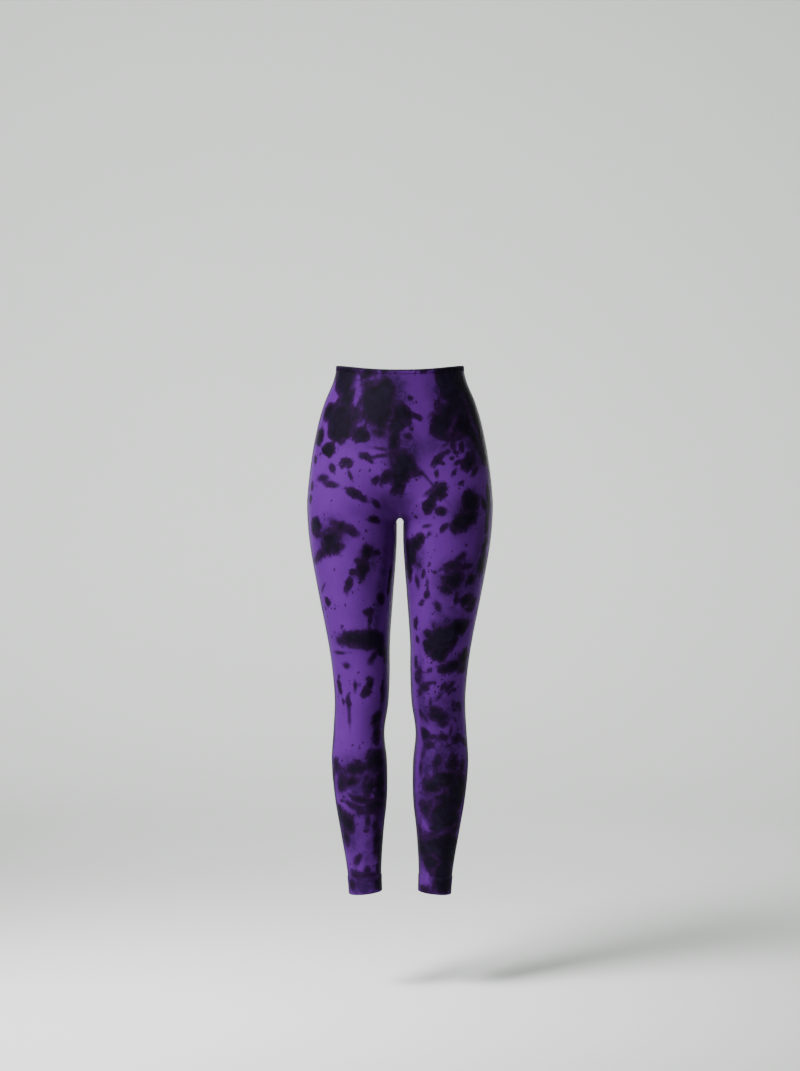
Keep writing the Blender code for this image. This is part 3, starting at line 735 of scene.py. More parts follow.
        # The painted shade lines along the seams start the sum, joined with the dye like one more stroke.
        weight = np.exp(self.seam_shade_depth(points, to_side, to_inseam, self.line_share) / self.join)
        softs, rags = weight * self.line_softness, weight * self.line_rag
        throws = np.full(len(points), self.least)
        for stroke, near, spread, own in self.laid(self.strokes(), points):
            depth = np.where(own, np.maximum((1.0 - spread) * stroke.width, self.lowest), self.lowest)
            share = np.exp(depth / self.join)
            weight[near] += share
            softs[near] += share * stroke.amount
            rags[near] += share * float(np.clip(stroke.width * self.rag_share, *self.rag_limits))
            throws[near] += share * (stroke.width > self.spatter_width)
        dye, soft, rag = self.join * np.log(weight), softs / weight, rags / weight
        # Thin washes of dye, with painted shade among them: a few front washes and the fringes of the seam
        # lines.
        wash = self.washes(points, self.seam_shade_depth(points, to_side, to_inseam))
        for stroke, near, spread, own in self.laid((Stroke(*row) for row in CLEARED), points):
            clear = np.where(own, (1.0 - spread) * stroke.width, self.lowest)
            soft[near] = np.where(-clear < dye[near], np.maximum(soft[near], stroke.amount), soft[near])
            dye[near] = np.minimum(dye[near], -clear)
            cleared = np.clip((clear - self.clear_start) / (self.clear_end - self.clear_start), 0.0, 1.0)
            wash[near] *= 1.0 - (1.0 - stroke.amount) * cleared
        back = np.argsort(order, kind="stable")
        taken = np.stack([np.maximum(dye, self.lowest), soft, rag], axis=-1)
        return taken[back], self.spatter(points, self.join * np.log(throws))[back], wash[back]


# ---- soft creases

# Soft troughs, and ridges where the depth is negative, in millimetres: x, drop, length, width, lean, depth.
FRONT_CREASES = (
    (-26, 252, 34, 6, -38, 0.9), (24, 254, 30, 6, 40, 0.7), (-44, 232, 40, 8, -30, 0.45),
    (46, 236, 36, 8, 32, 0.4), (-16, 268, 14, 3.5, -62, 0.7), (15, 267, 13, 3.5, 60, 0.6),
    (-52, 300, 26, 7, -24, 0.35), (50, 296, 24, 7, 26, 0.3), (-62, 596, 20, 5, 6, 0.35),
    (66, 590, 22, 5, -8, 0.3), (-84, 612, 18, 5, -14, 0.3), (88, 608, 18, 5, 12, 0.3),
    (-66, 905, 16, 4, 8, 0.35), (64, 902, 18, 4, -6, 0.35), (-58, 918, 14, 3.5, -10, 0.3),
    (70, 916, 14, 3.5, 10, 0.3), (-96, 30, 22, 7, -58, 0.3), (98, 28, 20, 7, 60, 0.3),
)
BACK_CREASES = (
    (-30, 250, 36, 6, -34, 0.9), (32, 252, 34, 6, 36, 0.8), (-58, 268, 38, 8, -12, 0.8),
    (60, 270, 40, 8, 10, 0.7), (-86, 590, 26, 5, 10, 0.8), (-60, 598, 22, 4.5, -14, 0.7),
    (-76, 614, 28, 5, 4, 0.8), (-70, 632, 22, 5, -10, 0.5), (84, 588, 24, 5, -8, 0.8),
    (62, 600, 22, 4.5, 12, 0.7), (74, 616, 26, 5, -4, 0.8), (78, 630, 22, 5, 12, 0.5),
    (-64, 898, 18, 4, 6, 0.4), (68, 900, 18, 4, -8, 0.4), (-72, 914, 16, 4, -8, 0.4),
    (60, 916, 16, 4, 6, 0.4), (-40, 24, 26, 6, 82, 0.4), (42, 26, 24, 6, -80, 0.4),
)


@dataclass(frozen=True)
class Handle:
    """How the knit lies on the figure: its few soft creases and its pull along the seams."""

    form: GarmentForm
    crease_fall: float = 1.6  # how fast a crease fades with its spread
    crease_reach: float = 6.0  # spread past which it fades no further
    seam_sink: float = 0.00045  # the cloth dips this far into a seam
    sink_reach: float = 0.0045
    pucker: float = 0.00018
    pucker_length: float = 0.0135
    pucker_reach: float = 0.012
    pucker_sway: Pair = (2.0, 31.0)  # how far the puckers drift, and how fast down the seam

    def relief(self, points: Array, to_seam: Array) -> Array:
        """How far the cloth lies outside the smooth form at points of it.

        Args:
            points: Points of the smooth surface.
            to_seam: Distance of each to the nearest seam, along the cloth.

        Returns:
            Metres outwards.
        """
        out = np.zeros(len(points))
        for table, face in ((FRONT_CREASES, Face.FRONT), (BACK_CREASES, Face.BACK)):
            for row in table:
                crease = Stroke(*row, face)
                spread, own = crease.spread(self.form, points)
                fall = np.exp(-self.crease_fall * np.minimum(spread, self.crease_reach) ** 2)
                out -= np.where(own, crease.amount * MM * fall, 0.0)
        drift, rate = self.pucker_sway
        wave = np.sin(2 * math.pi * points[:, 2] / self.pucker_length + drift * np.sin(rate * points[:, 2]))
        out -= self.seam_sink * np.exp(-((to_seam / self.sink_reach) ** 2))
        out += self.pucker * wave * np.exp(-((to_seam / self.pucker_reach) ** 2))
        return out


# ---- cloth


@dataclass
class Cloth:
    """Part of the garment's surface as rows of columns, with shared points joined.

    The first axis of the grids is the wearer's left or right half, then come rows from the top down, and
    columns from the front's inner edge round the side seam to the back's.
    """

    form: GarmentForm
    drops: Array
    offsets: Array  # outwards from the form, for each row
    legs: tuple[Leg, ...] = (Leg.LEFT, Leg.RIGHT)
    columns: int = 68  # from an inner edge to a side seam
    closed: bool = False  # the last row is the first
    ripple: Array | None = None  # further offsets outwards, in rows and columns
    ids: Array = field(init=False)
    corners: Array = field(init=False)  # places on the flat cloth, for each row and column
    points: Array = field(init=False)
    to_side: Array = field(init=False)
    to_inner: Array = field(init=False)

    def __post_init__(self) -> None:
        """Lay out the points and join the shared ones."""
        shares = np.linspace(-1.0, 1.0, 2 * self.columns + 1)
        torso = self.drops <= self.form.crotch_drop + 1e-9
        half = self.half(shares, torso)
        steps = np.linalg.norm(np.diff(half, axis=1), axis=-1)
        along = np.concatenate([np.zeros((len(half), 1)), np.cumsum(steps, axis=1)], axis=1)
        side = along[:, self.columns:self.columns + 1]
        to_side, to_inner = np.abs(along - side), np.minimum(along, along[:, -1:] - along)
        flips = np.array([(leg.value, 1, 1) for leg in self.legs], float)
        grid = half[None] * flips[:, None, None, :]
        ids = self.shared_ids(grid.shape[:3], torso)
        kept, back = np.unique(ids, return_inverse=True)
        self.ids = back.reshape(ids.shape)
        self.points = grid.reshape(-1, 3)[kept]
        self.to_side = np.broadcast_to(to_side, ids.shape).reshape(-1)[kept]
        self.to_inner = np.broadcast_to(to_inner, ids.shape).reshape(-1)[kept]
        self.corners = np.stack([
            np.concatenate([leg.value * to_inner.reshape(-1) for leg in self.legs]),
            np.tile(np.repeat(-self.drops, len(shares)), len(self.legs)),
        ], axis=-1).reshape(*ids.shape, 2)
        if np.isclose(self.drops, self.form.crotch_drop).any():
            self.ease_fork()

    def half(self, shares: Array, torso: Array) -> Array:
        """The points of the wearer's left half.

        Args:
            shares: Places of the columns.
            torso: Which rows lie above the crotch.

        Returns:
            The points, in rows and columns.
        """
        drops = self.drops[:, None]
        half, out = self.form.points(drops, shares), self.form.outward(drops, shares)
        half[torso, 0, 0] = half[torso, -1, 0] = 0.0
        out[~torso, 0] = out[~torso, -1] = unit(out[~torso, 0] + out[~torso, -1])
        offsets = self.offsets[:, None, None]
        if self.ripple is not None:
            offsets = offsets + self.ripple[:, :, None]
        return half + out * offsets

    def shared_ids(self, shape: tuple[int, int, int], torso: Array) -> Array:
        """An id for each place of the grids, the same where the cloth is in one.

        Args:
            shape: Halves, rows and columns.
            torso: Which rows lie above the crotch.

        Returns:
            The ids.
        """
        ids = np.arange(math.prod(shape)).reshape(shape)
        if len(self.legs) == 2:
            for column in (0, -1):
                ids[1, torso, column] = ids[0, torso, column]
        fork = np.isclose(self.drops, self.form.crotch_drop)
        if fork.any():
            ids[:, fork, 0] = ids[:, fork, -1] = ids[0, fork, 0]
        ids[:, ~torso, -1] = ids[:, ~torso, 0]
        if self.closed:
            ids[:, -1] = ids[:, 0]
        return ids

    def ease_fork(self, reach: float = 0.018, side_reach: float = 0.04, inner_reach: float = 0.010,
                  rounds: int = 40) -> None:
        """Smooth the cloth where the legs part, so that torso and legs meet without a line.

        Args:
            reach: Height above and below the crotch over which it is smoothed.
            side_reach: Distance from a side seam over which it comes on.
            inner_reach: The same from an inner edge.
            rounds: How many times.
        """
        quads, _ = self.faces()
        sides = np.stack([quads, np.roll(quads, -1, axis=1)], axis=-1).reshape(-1, 2)
        edges = np.unique(np.sort(sides), axis=0)
        away = np.abs(self.points[:, 2] + self.form.crotch_drop) / reach
        inner = np.clip(self.to_side / side_reach, 0.0, 1.0)
        weight = 0.5 * np.exp(-away ** 2) * inner * np.clip(self.to_inner / inner_reach, 0.0, 1.0)
        near = np.where(away < 3.0)[0]
        edges = edges[np.isin(edges, near).any(axis=1)]
        count = np.zeros(len(self.points))
        np.add.at(count, edges.reshape(-1), 1.0)
        for _ in range(rounds):
            total = np.zeros_like(self.points)
            np.add.at(total, edges[:, 0], self.points[edges[:, 1]])
            np.add.at(total, edges[:, 1], self.points[edges[:, 0]])
            mean = total[near] / count[near, None]
            self.points[near] += weight[near, None] * (mean - self.points[near])

    def faces(self, first: int = 0, last: int | None = None,
              halves: tuple[int, ...] = (0, 1)) -> tuple[Array, Array]:
        """Four-sided faces between two columns, facing outwards.

        Args:
            first: The first column.
            last: The last column.
            halves: Which of the grid's halves.

        Returns:
            Ids of the faces' corners, and the same corners' places on the cloth.
        """
        quads, places = [], []
        for half in halves:
            if half >= len(self.legs):
                continue
            for grid, kept in ((self.ids[half], quads), (self.corners[half], places)):
                part = grid[:, first:None if last is None else last + 1]
                ring = [part[:-1, :-1], part[1:, :-1], part[1:, 1:], part[:-1, 1:]]
                if self.legs[half] is Leg.RIGHT:
                    ring.reverse()
                kept.append(np.stack(ring, axis=2).reshape(-1, 4, *grid.shape[2:]))
        return np.concatenate(quads), np.concatenate(places)

    def normals(self) -> Array:
        """Directions outwards at the points, from all the faces that meet there.

        Returns:
            One direction of length 1 for each point.
        """
        quads, _ = self.faces()
        corner = self.points[quads]
        across = np.cross(corner[:, 2] - corner[:, 0], corner[:, 3] - corner[:, 1])
        total = np.zeros_like(self.points)
        for place in range(4):
            np.add.at(total, quads[:, place], across)
        return unit(total)


def new_mesh(name: str, points: Array, faces: list | Array, corners: Array | None = None) -> Piece:
    """A smooth mesh object in the scene.

    Args:
        name: Name of the piece.
        points: Its points.
        faces: Ids of each face's corners.
        corners: Place of every face corner on the cloth, in metres.

    Returns:
        The object, at the origin.
    """
    mesh = bpy.data.meshes.new(name)
    mesh.from_pydata(points.tolist(), [], faces.tolist() if isinstance(faces, np.ndarray) else faces)
    if corners is not None:
        layer = mesh.uv_layers.new(name="cloth")
        layer.data.foreach_set("uv", corners.astype(np.float32).reshape(-1))
    mesh.shade_smooth()
    mesh.update()
    piece = bpy.data.objects.new(name, mesh)
    bpy.context.scene.collection.objects.link(piece)
    return piece


def paint(piece: Piece, name: str, values: Array) -> None:
    """Store a number or a triple at each of a piece's points."""
    kind, key = ("FLOAT_VECTOR", "vector") if values.ndim == 2 else ("FLOAT", "value")
    piece.data.attributes.new(name, kind, "POINT").data.foreach_set(key, values.astype(np.float32).reshape(-1))


@dataclass(frozen=True)
class Tailor:
    """Makes dyed pieces of cloth on the form."""

    form: GarmentForm
    bath: DyeBath
    handle: Handle
    thickness: float = 0.0012
    stitch: float = 0.0027
    stitch_pitch: float = 0.0034
    crisp: float = 60.0  # edges sharper than this, in degrees, aren't smoothed over
    front_depth: float = 0.001  # the middle of the torso is a seam from here back

    def soak(self, piece: Piece, points: Array, to_side: Array, to_inner: Array,
             copies: int = 1) -> None:
        """Store how the dye took on a piece, with the painted shade along the seams and in a few washes.

        Args:
            piece: The piece.
            points: Its points, or those of its outer layer.
            to_side: Distance of each to a side seam.
            to_inner: Distance of each to an inner edge.
            copies: How many layers repeat those points, the later ones on the inside.
        """
        dye, spatter, wash = self.bath.soak(points, to_side, to_inner)
        # The dye depth also carries the painted shade lines along the seams, and the wash strength carries a
        # few washes of painted shade.
        paint(piece, "dye", np.tile(dye, (copies, 1)))
        paint(piece, "spatter", np.tile(spatter, copies))
        paint(piece, "wash", np.tile(wash, copies))
        paint(piece, "inside", np.repeat(np.arange(copies) > 0, len(points)))

    def stitched(self, name: str, rings: "list[Line]") -> Piece:
        """Rows of stitches that were dyed with the cloth.

        Args:
            name: Name of the piece.
            rings: The lines that they follow.

        Returns:
            The piece.
        """
        lines = [ring.even(self.stitch_pitch) for ring in rings]
        rows = [(line.points, *line.frames()[:2]) for line in lines]
        piece = Thread(self.stitch).sew(name, *(np.vstack(column) for column in zip(*rows)))
        points = np.array([vertex.co for vertex in piece.data.vertices])
        self.soak(piece, points, np.ones(len(points)), np.ones(len(points)))
        return piece

    def panel(self, name: str, cloth: Cloth, quads: Array, places: Array, shift: tuple) -> Piece:
        """A panel as a thin closed shell: an outer face, an inner face and the cut edge between them.

        Args:
            name: Name of the piece.
            cloth: The surface of the garment.
            quads: The panel's faces on it.
            places: The same faces' corners on the cloth.
            shift: A small move off its neighbours, so that cut edges don't touch.

        Returns:
            The piece.
        """
        used, back = np.unique(quads, return_inverse=True)
        quads = back.reshape(quads.shape)
        normals = cloth.normals()[used]
        relief = self.handle.relief(cloth.points[used], self.to_seam(cloth, used))
        outer = cloth.points[used] + normals * relief[:, None] + np.array(shift)
        inner = outer - normals * self.thickness
        count = len(used)
        edges = np.stack([quads, np.roll(quads, -1, axis=1)], axis=-1).reshape(-1, 2)
        turned = {(int(b), int(a)) for a, b in edges}
        open_edges = np.array([place for place, (a, b) in enumerate(edges) if (int(a), int(b)) not in turned])
        a, b = edges[open_edges].T
        rim = np.stack([b, a, a + count, b + count], axis=1)
        near, far = places.reshape(-1, 2)[open_edges], np.roll(places, -1, axis=1).reshape(-1, 2)[open_edges]
        rim_places = np.stack([far, near, near, far], axis=1)
        faces = np.concatenate([quads, quads[:, ::-1] + count, rim])
        corners = np.concatenate([places, places[:, ::-1], rim_places])
        piece = new_mesh(name, np.concatenate([outer, inner]), faces, corners)
        piece.data.set_sharp_from_angle(angle=math.radians(self.crisp))
        self.soak(piece, cloth.points[used], cloth.to_side[used], cloth.to_inner[used], copies=2)
        return piece

    def to_seam(self, cloth: Cloth, used: Array) -> Array:
        """Distance to the nearest seam: a side seam, an inseam or the middle of the back."""
        points = cloth.points[used]
        above = np.maximum(0.0, self.form.crotch_drop + points[:, 2])
        above = np.where(points[:, 1] < self.front_depth, above, 0.0)
        return np.minimum(cloth.to_side[used], np.hypot(cloth.to_inner[used], above))

    def band(self, name: str, cloth: Cloth) -> Piece:
        """A doubled band, as a closed ring on a closed cloth."""
        quads, places = cloth.faces()
        piece = new_mesh(name, cloth.points, quads, places)
        self.soak(piece, cloth.points, cloth.to_side, cloth.to_inner)
        return piece


# ---- lines and thread


@dataclass(frozen=True)
class Line:
    """A line on the garment, with the directions outwards at its points."""

    points: Array
    out: Array
    ring: bool = False

    def even(self, spacing: float) -> "Line":
        """The same line with even points.

        Args:
            spacing: About how far apart they lie.

        Returns:
            The line.
        """
        points, out = self.points, self.out
        if self.ring:
            points, out = np.vstack([points, points[:1]]), np.vstack([out, out[:1]])
        along = np.concatenate([[0.0], np.cumsum(np.linalg.norm(np.diff(points, axis=0), axis=1))])
        count = max(2, round(along[-1] / spacing)) + (0 if self.ring else 1)
        marks = np.linspace(0.0, along[-1], count, endpoint=not self.ring)
        place = np.stack([np.interp(marks, along, points[:, axis]) for axis in range(3)], axis=1)
        away = np.stack([np.interp(marks, along, out[:, axis]) for axis in range(3)], axis=1)
        return Line(place, unit(away), self.ring)

    def frames(self) -> tuple[Array, Array, Array]:
        """Directions at the line's points.

        Returns:
            Those along the line, outwards from the cloth, and across both, of length 1.
        """
        if self.ring:
            along = unit(np.roll(self.points, -1, axis=0) - np.roll(self.points, 1, axis=0))
        else:
            along = unit(np.gradient(self.points, axis=0))
        across = unit(np.cross(along, self.out))
        return along, np.cross(across, along), across


def seam_line(form: GarmentForm, leg: Leg | None, share: float, top: float, foot: float,
              step: float = 0.0015, closing: float = 0.012) -> Line:
    """A seam down the garment.

    Args:
        form: The garment's form.
        leg: The side it is on, or None for the middle of the back.
        share: 0 for a side seam, 1 for an inseam or the middle of the back.
        top: Drop at its top.
        foot: Drop at its foot.
        step: Drop from point to point.
        closing: Height above the crotch over which the points of the middle of the back close up.

    Returns:
        The line, from the top down.
    """
    drops = np.arange(top, foot, step)
    if leg is None:
        drops = np.concatenate([drops, form.crotch_drop - closing * np.linspace(0.9, 0.02, 24) ** 2])
        drops = np.unique(drops[drops < form.crotch_drop])
    flip = np.array((leg.value if leg else 1, 1, 1), float)
    points = form.points(drops, share)
    out = form.outward(drops, share)
    if leg is None:
        points[:, 0] = out[:, 0] = 0.0
    elif share:
        out = out + form.outward(drops, -share)
    return Line(points * flip, unit(out) * flip)


def round_line(form: GarmentForm, drop: float, offset: float, leg: Leg | None, columns: int = 220) -> Line:
    """A line round the waist or a leg.

    Args:
        form: The garment's form.
        drop: How far it lies below the waist.
        offset: How far it lies outside the cloth.
        leg: The leg, or None for the waist.
        columns: Points round each half.

    Returns:
        The line, as a ring.
    """
    shares = np.linspace(-1.0, 1.0, columns)
    points, out = form.points(drop, shares), form.outward(drop, shares)
    if leg:
        out[0] = out[-1] = unit(out[0] + out[-1])
        flip = np.array((leg.value, 1, 1), float)
        return Line((points + out * offset)[:-1] * flip, out[:-1] * flip, ring=True)
    points = points + out * offset
    points[0, 0] = points[-1, 0] = 0.0
    mirror = np.array((-1.0, 1, 1))
    points, out = (np.vstack([half, (half * mirror)[-2:0:-1]]) for half in (points, out))
    return Line(points, out, ring=True)


def lay_along(name: str, line: Line, outline: Array, swell: Array | None = None) -> Piece:
    """A solid strand of constant outline along a line.

    Args:
        name: Name of the piece.
        line: The line that it follows.
        outline: Its outline as pairs, across the line and outwards, in turn.
        swell: Factors on the outline at the line's points.

    Returns:
        The piece, with its ends closed.
    """
    along, out, across = line.frames()
    scale = np.ones(len(line.points)) if swell is None else swell
    rings = line.points[:, None] + scale[:, None, None] * (
        outline[None, :, :1] * across[:, None] + outline[None, :, 1:] * out[:, None])
    count, sides = rings.shape[:2]
    ids = np.arange(count * sides).reshape(count, sides)
    rows, nexts = (ids, np.roll(ids, -1, axis=0)) if line.ring else (ids[:-1], ids[1:])
    corners = [rows, np.roll(rows, -1, axis=1), np.roll(nexts, -1, axis=1), nexts]
    faces = np.stack(corners, axis=2).reshape(-1, 4).tolist()
    if not line.ring:
        faces += [ids[0][::-1].tolist(), ids[-1].tolist()]
    piece = new_mesh(name, rings.reshape(-1, 3), faces)
    faced_out(piece)
    return piece


def faced_out(piece: Piece) -> None:
    """Turn a closed piece's faces outwards."""
    select_only(piece)
    bpy.ops.object.mode_set(mode="EDIT")
    bpy.ops.mesh.select_all(action="SELECT")
    bpy.ops.mesh.normals_make_consistent(inside=False)
    bpy.ops.object.mode_set(mode="OBJECT")


def select_only(*pieces: Piece) -> None:
    """Select these objects and nothing else."""
    if bpy.context.mode != "OBJECT":
        bpy.ops.object.mode_set(mode="OBJECT")
    bpy.ops.object.select_all(action="DESELECT")
    for piece in pieces:
        piece.select_set(True)
        bpy.context.view_layer.objects.active = piece


@dataclass(frozen=True)
class Thread:
    """One visible stitch of a thread, which lies on the cloth and dips into it at its ends."""

    length: float
    radius: float = 0.00026
    rise: float = 0.00020  # height of its middle above its ends
    taper: float = 0.45  # how much thinner its ends are
    sides: int = 6
    cuts: int = 3

    def model(self) -> tuple[Array, list[list[int]]]:
        """Model one stitch, lying along X and bowed up along Z.

        Returns:
            Its points and faces.
        """
        select_only()
        bpy.ops.mesh.primitive_cylinder_add(
            vertices=self.sides, radius=self.radius, depth=self.length, rotation=(0, math.pi / 2, 0))
        piece = bpy.context.active_object
        bpy.ops.object.transform_apply(location=True, rotation=True, scale=True)
        bpy.ops.object.mode_set(mode="EDIT")
        for step in range(1, self.cuts + 1):
            bpy.ops.mesh.select_all(action="SELECT")
            place = self.length * (step / (self.cuts + 1) - 0.5)
            bpy.ops.mesh.bisect(plane_co=(place, 0, 0), plane_no=(1, 0, 0))
        bpy.ops.object.mode_set(mode="OBJECT")
        points = np.array([vertex.co for vertex in piece.data.vertices])
        share = np.abs(points[:, 0]) / (self.length / 2)
        points[:, 2] += self.rise * (1 - 2 * share ** 2)
        points[:, 1:] *= 1 - self.taper * share[:, None] ** 3
        faces = [list(face.vertices) for face in piece.data.polygons]
        bpy.data.objects.remove(piece)
        return points, faces

    def sew(self, name: str, places: Array, ways: Array, outs: Array) -> Piece:
        """Copies of the stitch as one piece.

        Args:
            name: Name of the piece.
            places: Middles of the stitches.
            ways: Directions in which they lie.
            outs: Directions outwards from the cloth.

        Returns:
            The piece.
        """
        model, faces = self.model()
        sides = np.cross(outs, ways)
        axes = np.stack([ways, sides, outs], axis=1)
        points = places[:, None] + np.einsum("pk,nkj->npj", model, axes)
        starts = range(0, len(places) * len(model), len(model))
        joined = [[corner + start for corner in face] for start in starts for face in faces]
        return new_mesh(name, points.reshape(-1, 3), joined)


# ---- shader


Operand = "Signal | float"


@dataclass(frozen=True)
class Signal:
    """An output socket of a material's nodes, on which arithmetic adds Math nodes."""

    bench: "Bench"
    socket: bpy.types.NodeSocket

    def maths(self, operation: str, *values: Operand, clamp: bool = False) -> "Signal":
        """A Math node on these values."""
        settings = {"operation": operation, "use_clamp": clamp}
        return self.bench.signal("ShaderNodeMath", settings, dict(enumerate(values)))

    def __add__(self, other: Operand) -> "Signal":
        """Sum."""
        return self.maths("ADD", self, other)

    __radd__ = __add__

    def __sub__(self, other: Operand) -> "Signal":
        """Difference."""
        return self.maths("SUBTRACT", self, other)

    def __rsub__(self, other: Operand) -> "Signal":
        """Difference from a number."""
        return self.maths("SUBTRACT", other, self)

    def __mul__(self, other: Operand) -> "Signal":
        """Product."""
        return self.maths("MULTIPLY", self, other)

    __rmul__ = __mul__

    def __truediv__(self, other: Operand) -> "Signal":
        """Quotient."""
        return self.maths("DIVIDE", self, other)

    def __neg__(self) -> "Signal":
        """Negative."""
        return self.maths("MULTIPLY", self, -1.0)

    def __pow__(self, other: Operand) -> "Signal":
        """Power."""
        return self.maths("POWER", self, other)

    def __abs__(self) -> "Signal":
        """Size without its sign."""
        return self.maths("ABSOLUTE", self)

    def fraction(self) -> "Signal":
        """What is left above the whole number."""
        return self.maths("FRACT", self)

    def sine(self) -> "Signal":
        """Sine."""
        return self.maths("SINE", self)

    def highest(self, other: Operand) -> "Signal":
        """The higher of two."""
        return self.maths("MAXIMUM", self, other)

    def clamped(self) -> "Signal":
        """The same, held between 0 and 1."""
        return self.maths("ADD", self, 0.0, clamp=True)

    def rise(self, start: Operand, end: Operand) -> "Signal":
        """0 below the start, 1 above the end, and smooth between them."""
        return self.bench.signal(
            "ShaderNodeMapRange", {"interpolation_type": "SMOOTHSTEP"},
            {"Value": self, "From Min": start, "From Max": end})


@dataclass(frozen=True)
class Grain:
    """A smooth noise over an object."""

    size: float  # of its largest features
    detail: float = 2.0  # how many finer layers it has
    roughness: float = 0.5  # their strength
    distortion: float = 0.0  # how much its shapes are dragged
    flow: float = 1.0  # below 1 it is drawn out downwards


class Bench:
    """The nodes of one material."""

    def __init__(self, name: str) -> None:
        """Start an empty material of this name."""
        self.material = bpy.data.materials.new(name)
        self.material.use_nodes = True
        self.material.node_tree.nodes.clear()
        self.place = self.signal("ShaderNodeTexCoord", output="Object")

    def add(self, kind: str, settings: dict | None = None, values: dict | None = None) -> bpy.types.Node:
        """Add a node.

        Args:
            kind: Its type.
            settings: Its settings, by name.
            values: Numbers, colours or signals for its sockets, by name or number.

        Returns:
            The node.
        """
        tree = self.material.node_tree
        node = tree.nodes.new(kind)
        for key, value in (settings or {}).items():
            setattr(node, key, value)
        for key, value in (values or {}).items():
            if isinstance(value, Signal):
                tree.links.new(value.socket, node.inputs[key])
            else:
                node.inputs[key].default_value = value
        return node

    def signal(self, kind: str, settings: dict | None = None, values: dict | None = None,
               output: int | str = 0) -> Signal:
        """Add a node and take one of its outputs."""
        return Signal(self, self.add(kind, settings, values).outputs[output])

    def number(self, name: str) -> Signal:
        """A number stored at the points."""
        return self.signal("ShaderNodeAttribute", {"attribute_name": name}, output="Fac")

    def parts(self, vector: Signal) -> tuple[Signal, Signal, Signal]:
        """The three numbers of a vector."""
        first, second, third = self.add("ShaderNodeSeparateXYZ", values={0: vector}).outputs
        return Signal(self, first), Signal(self, second), Signal(self, third)

    def noise(self, grain: Grain, gain: float = 3.2) -> Signal:
        """Smooth noise about 0.

        Args:
            grain: The noise.
            gain: What brings most of it within -1 and 1.

        Returns:
            The noise.
        """
        place = self.place
        if grain.flow != 1.0:
            factors = (1.0, 1.0, grain.flow)
            place = self.signal("ShaderNodeVectorMath", {"operation": "MULTIPLY"}, {0: place, 1: factors})
        fac = self.signal("ShaderNodeTexNoise", {"noise_dimensions": "3D"}, {
            "Vector": place, "Scale": 1.0 / grain.size, "Detail": grain.detail,
            "Roughness": grain.roughness, "Distortion": grain.distortion})
        return (fac - 0.5) * gain

    def clouds(self, grain: Grain) -> Signal:
        """The same noise about a half, held between 0 and 1."""
        return (0.5 + 0.5 * self.noise(grain)).clamped()

    def mix(self, factor: Operand, first: Signal | Triple, second: Signal | Triple) -> Signal:
        """A mix of two colours."""
        first, second = (value if isinstance(value, Signal) else (*value, 1.0) for value in (first, second))
        return self.signal("ShaderNodeMix", {"data_type": "RGBA"}, {0: factor, 6: first, 7: second}, output=2)

    def scaled(self, colour: Signal, factor: Operand) -> Signal:
        """A colour or vector times a number."""
        return self.signal("ShaderNodeVectorMath", {"operation": "SCALE"}, {0: colour, "Scale": factor})

    def bump(self, height: Signal, distance: float, strength: float, before: Signal | None = None) -> Signal:
        """A normal bent by a height from 0 to 1 that stands for a distance."""
        values = {"Height": height, "Distance": distance, "Strength": strength}
        if before:
            values["Normal"] = before
        return self.signal("ShaderNodeBump", None, values)

    def finish(self, values: dict) -> bpy.types.Material:
        """Close the material with a Principled shader of these values."""
        shader = self.signal("ShaderNodeBsdfPrincipled", None, values)
        self.add("ShaderNodeOutputMaterial", values={"Surface": shader})
        return self.material


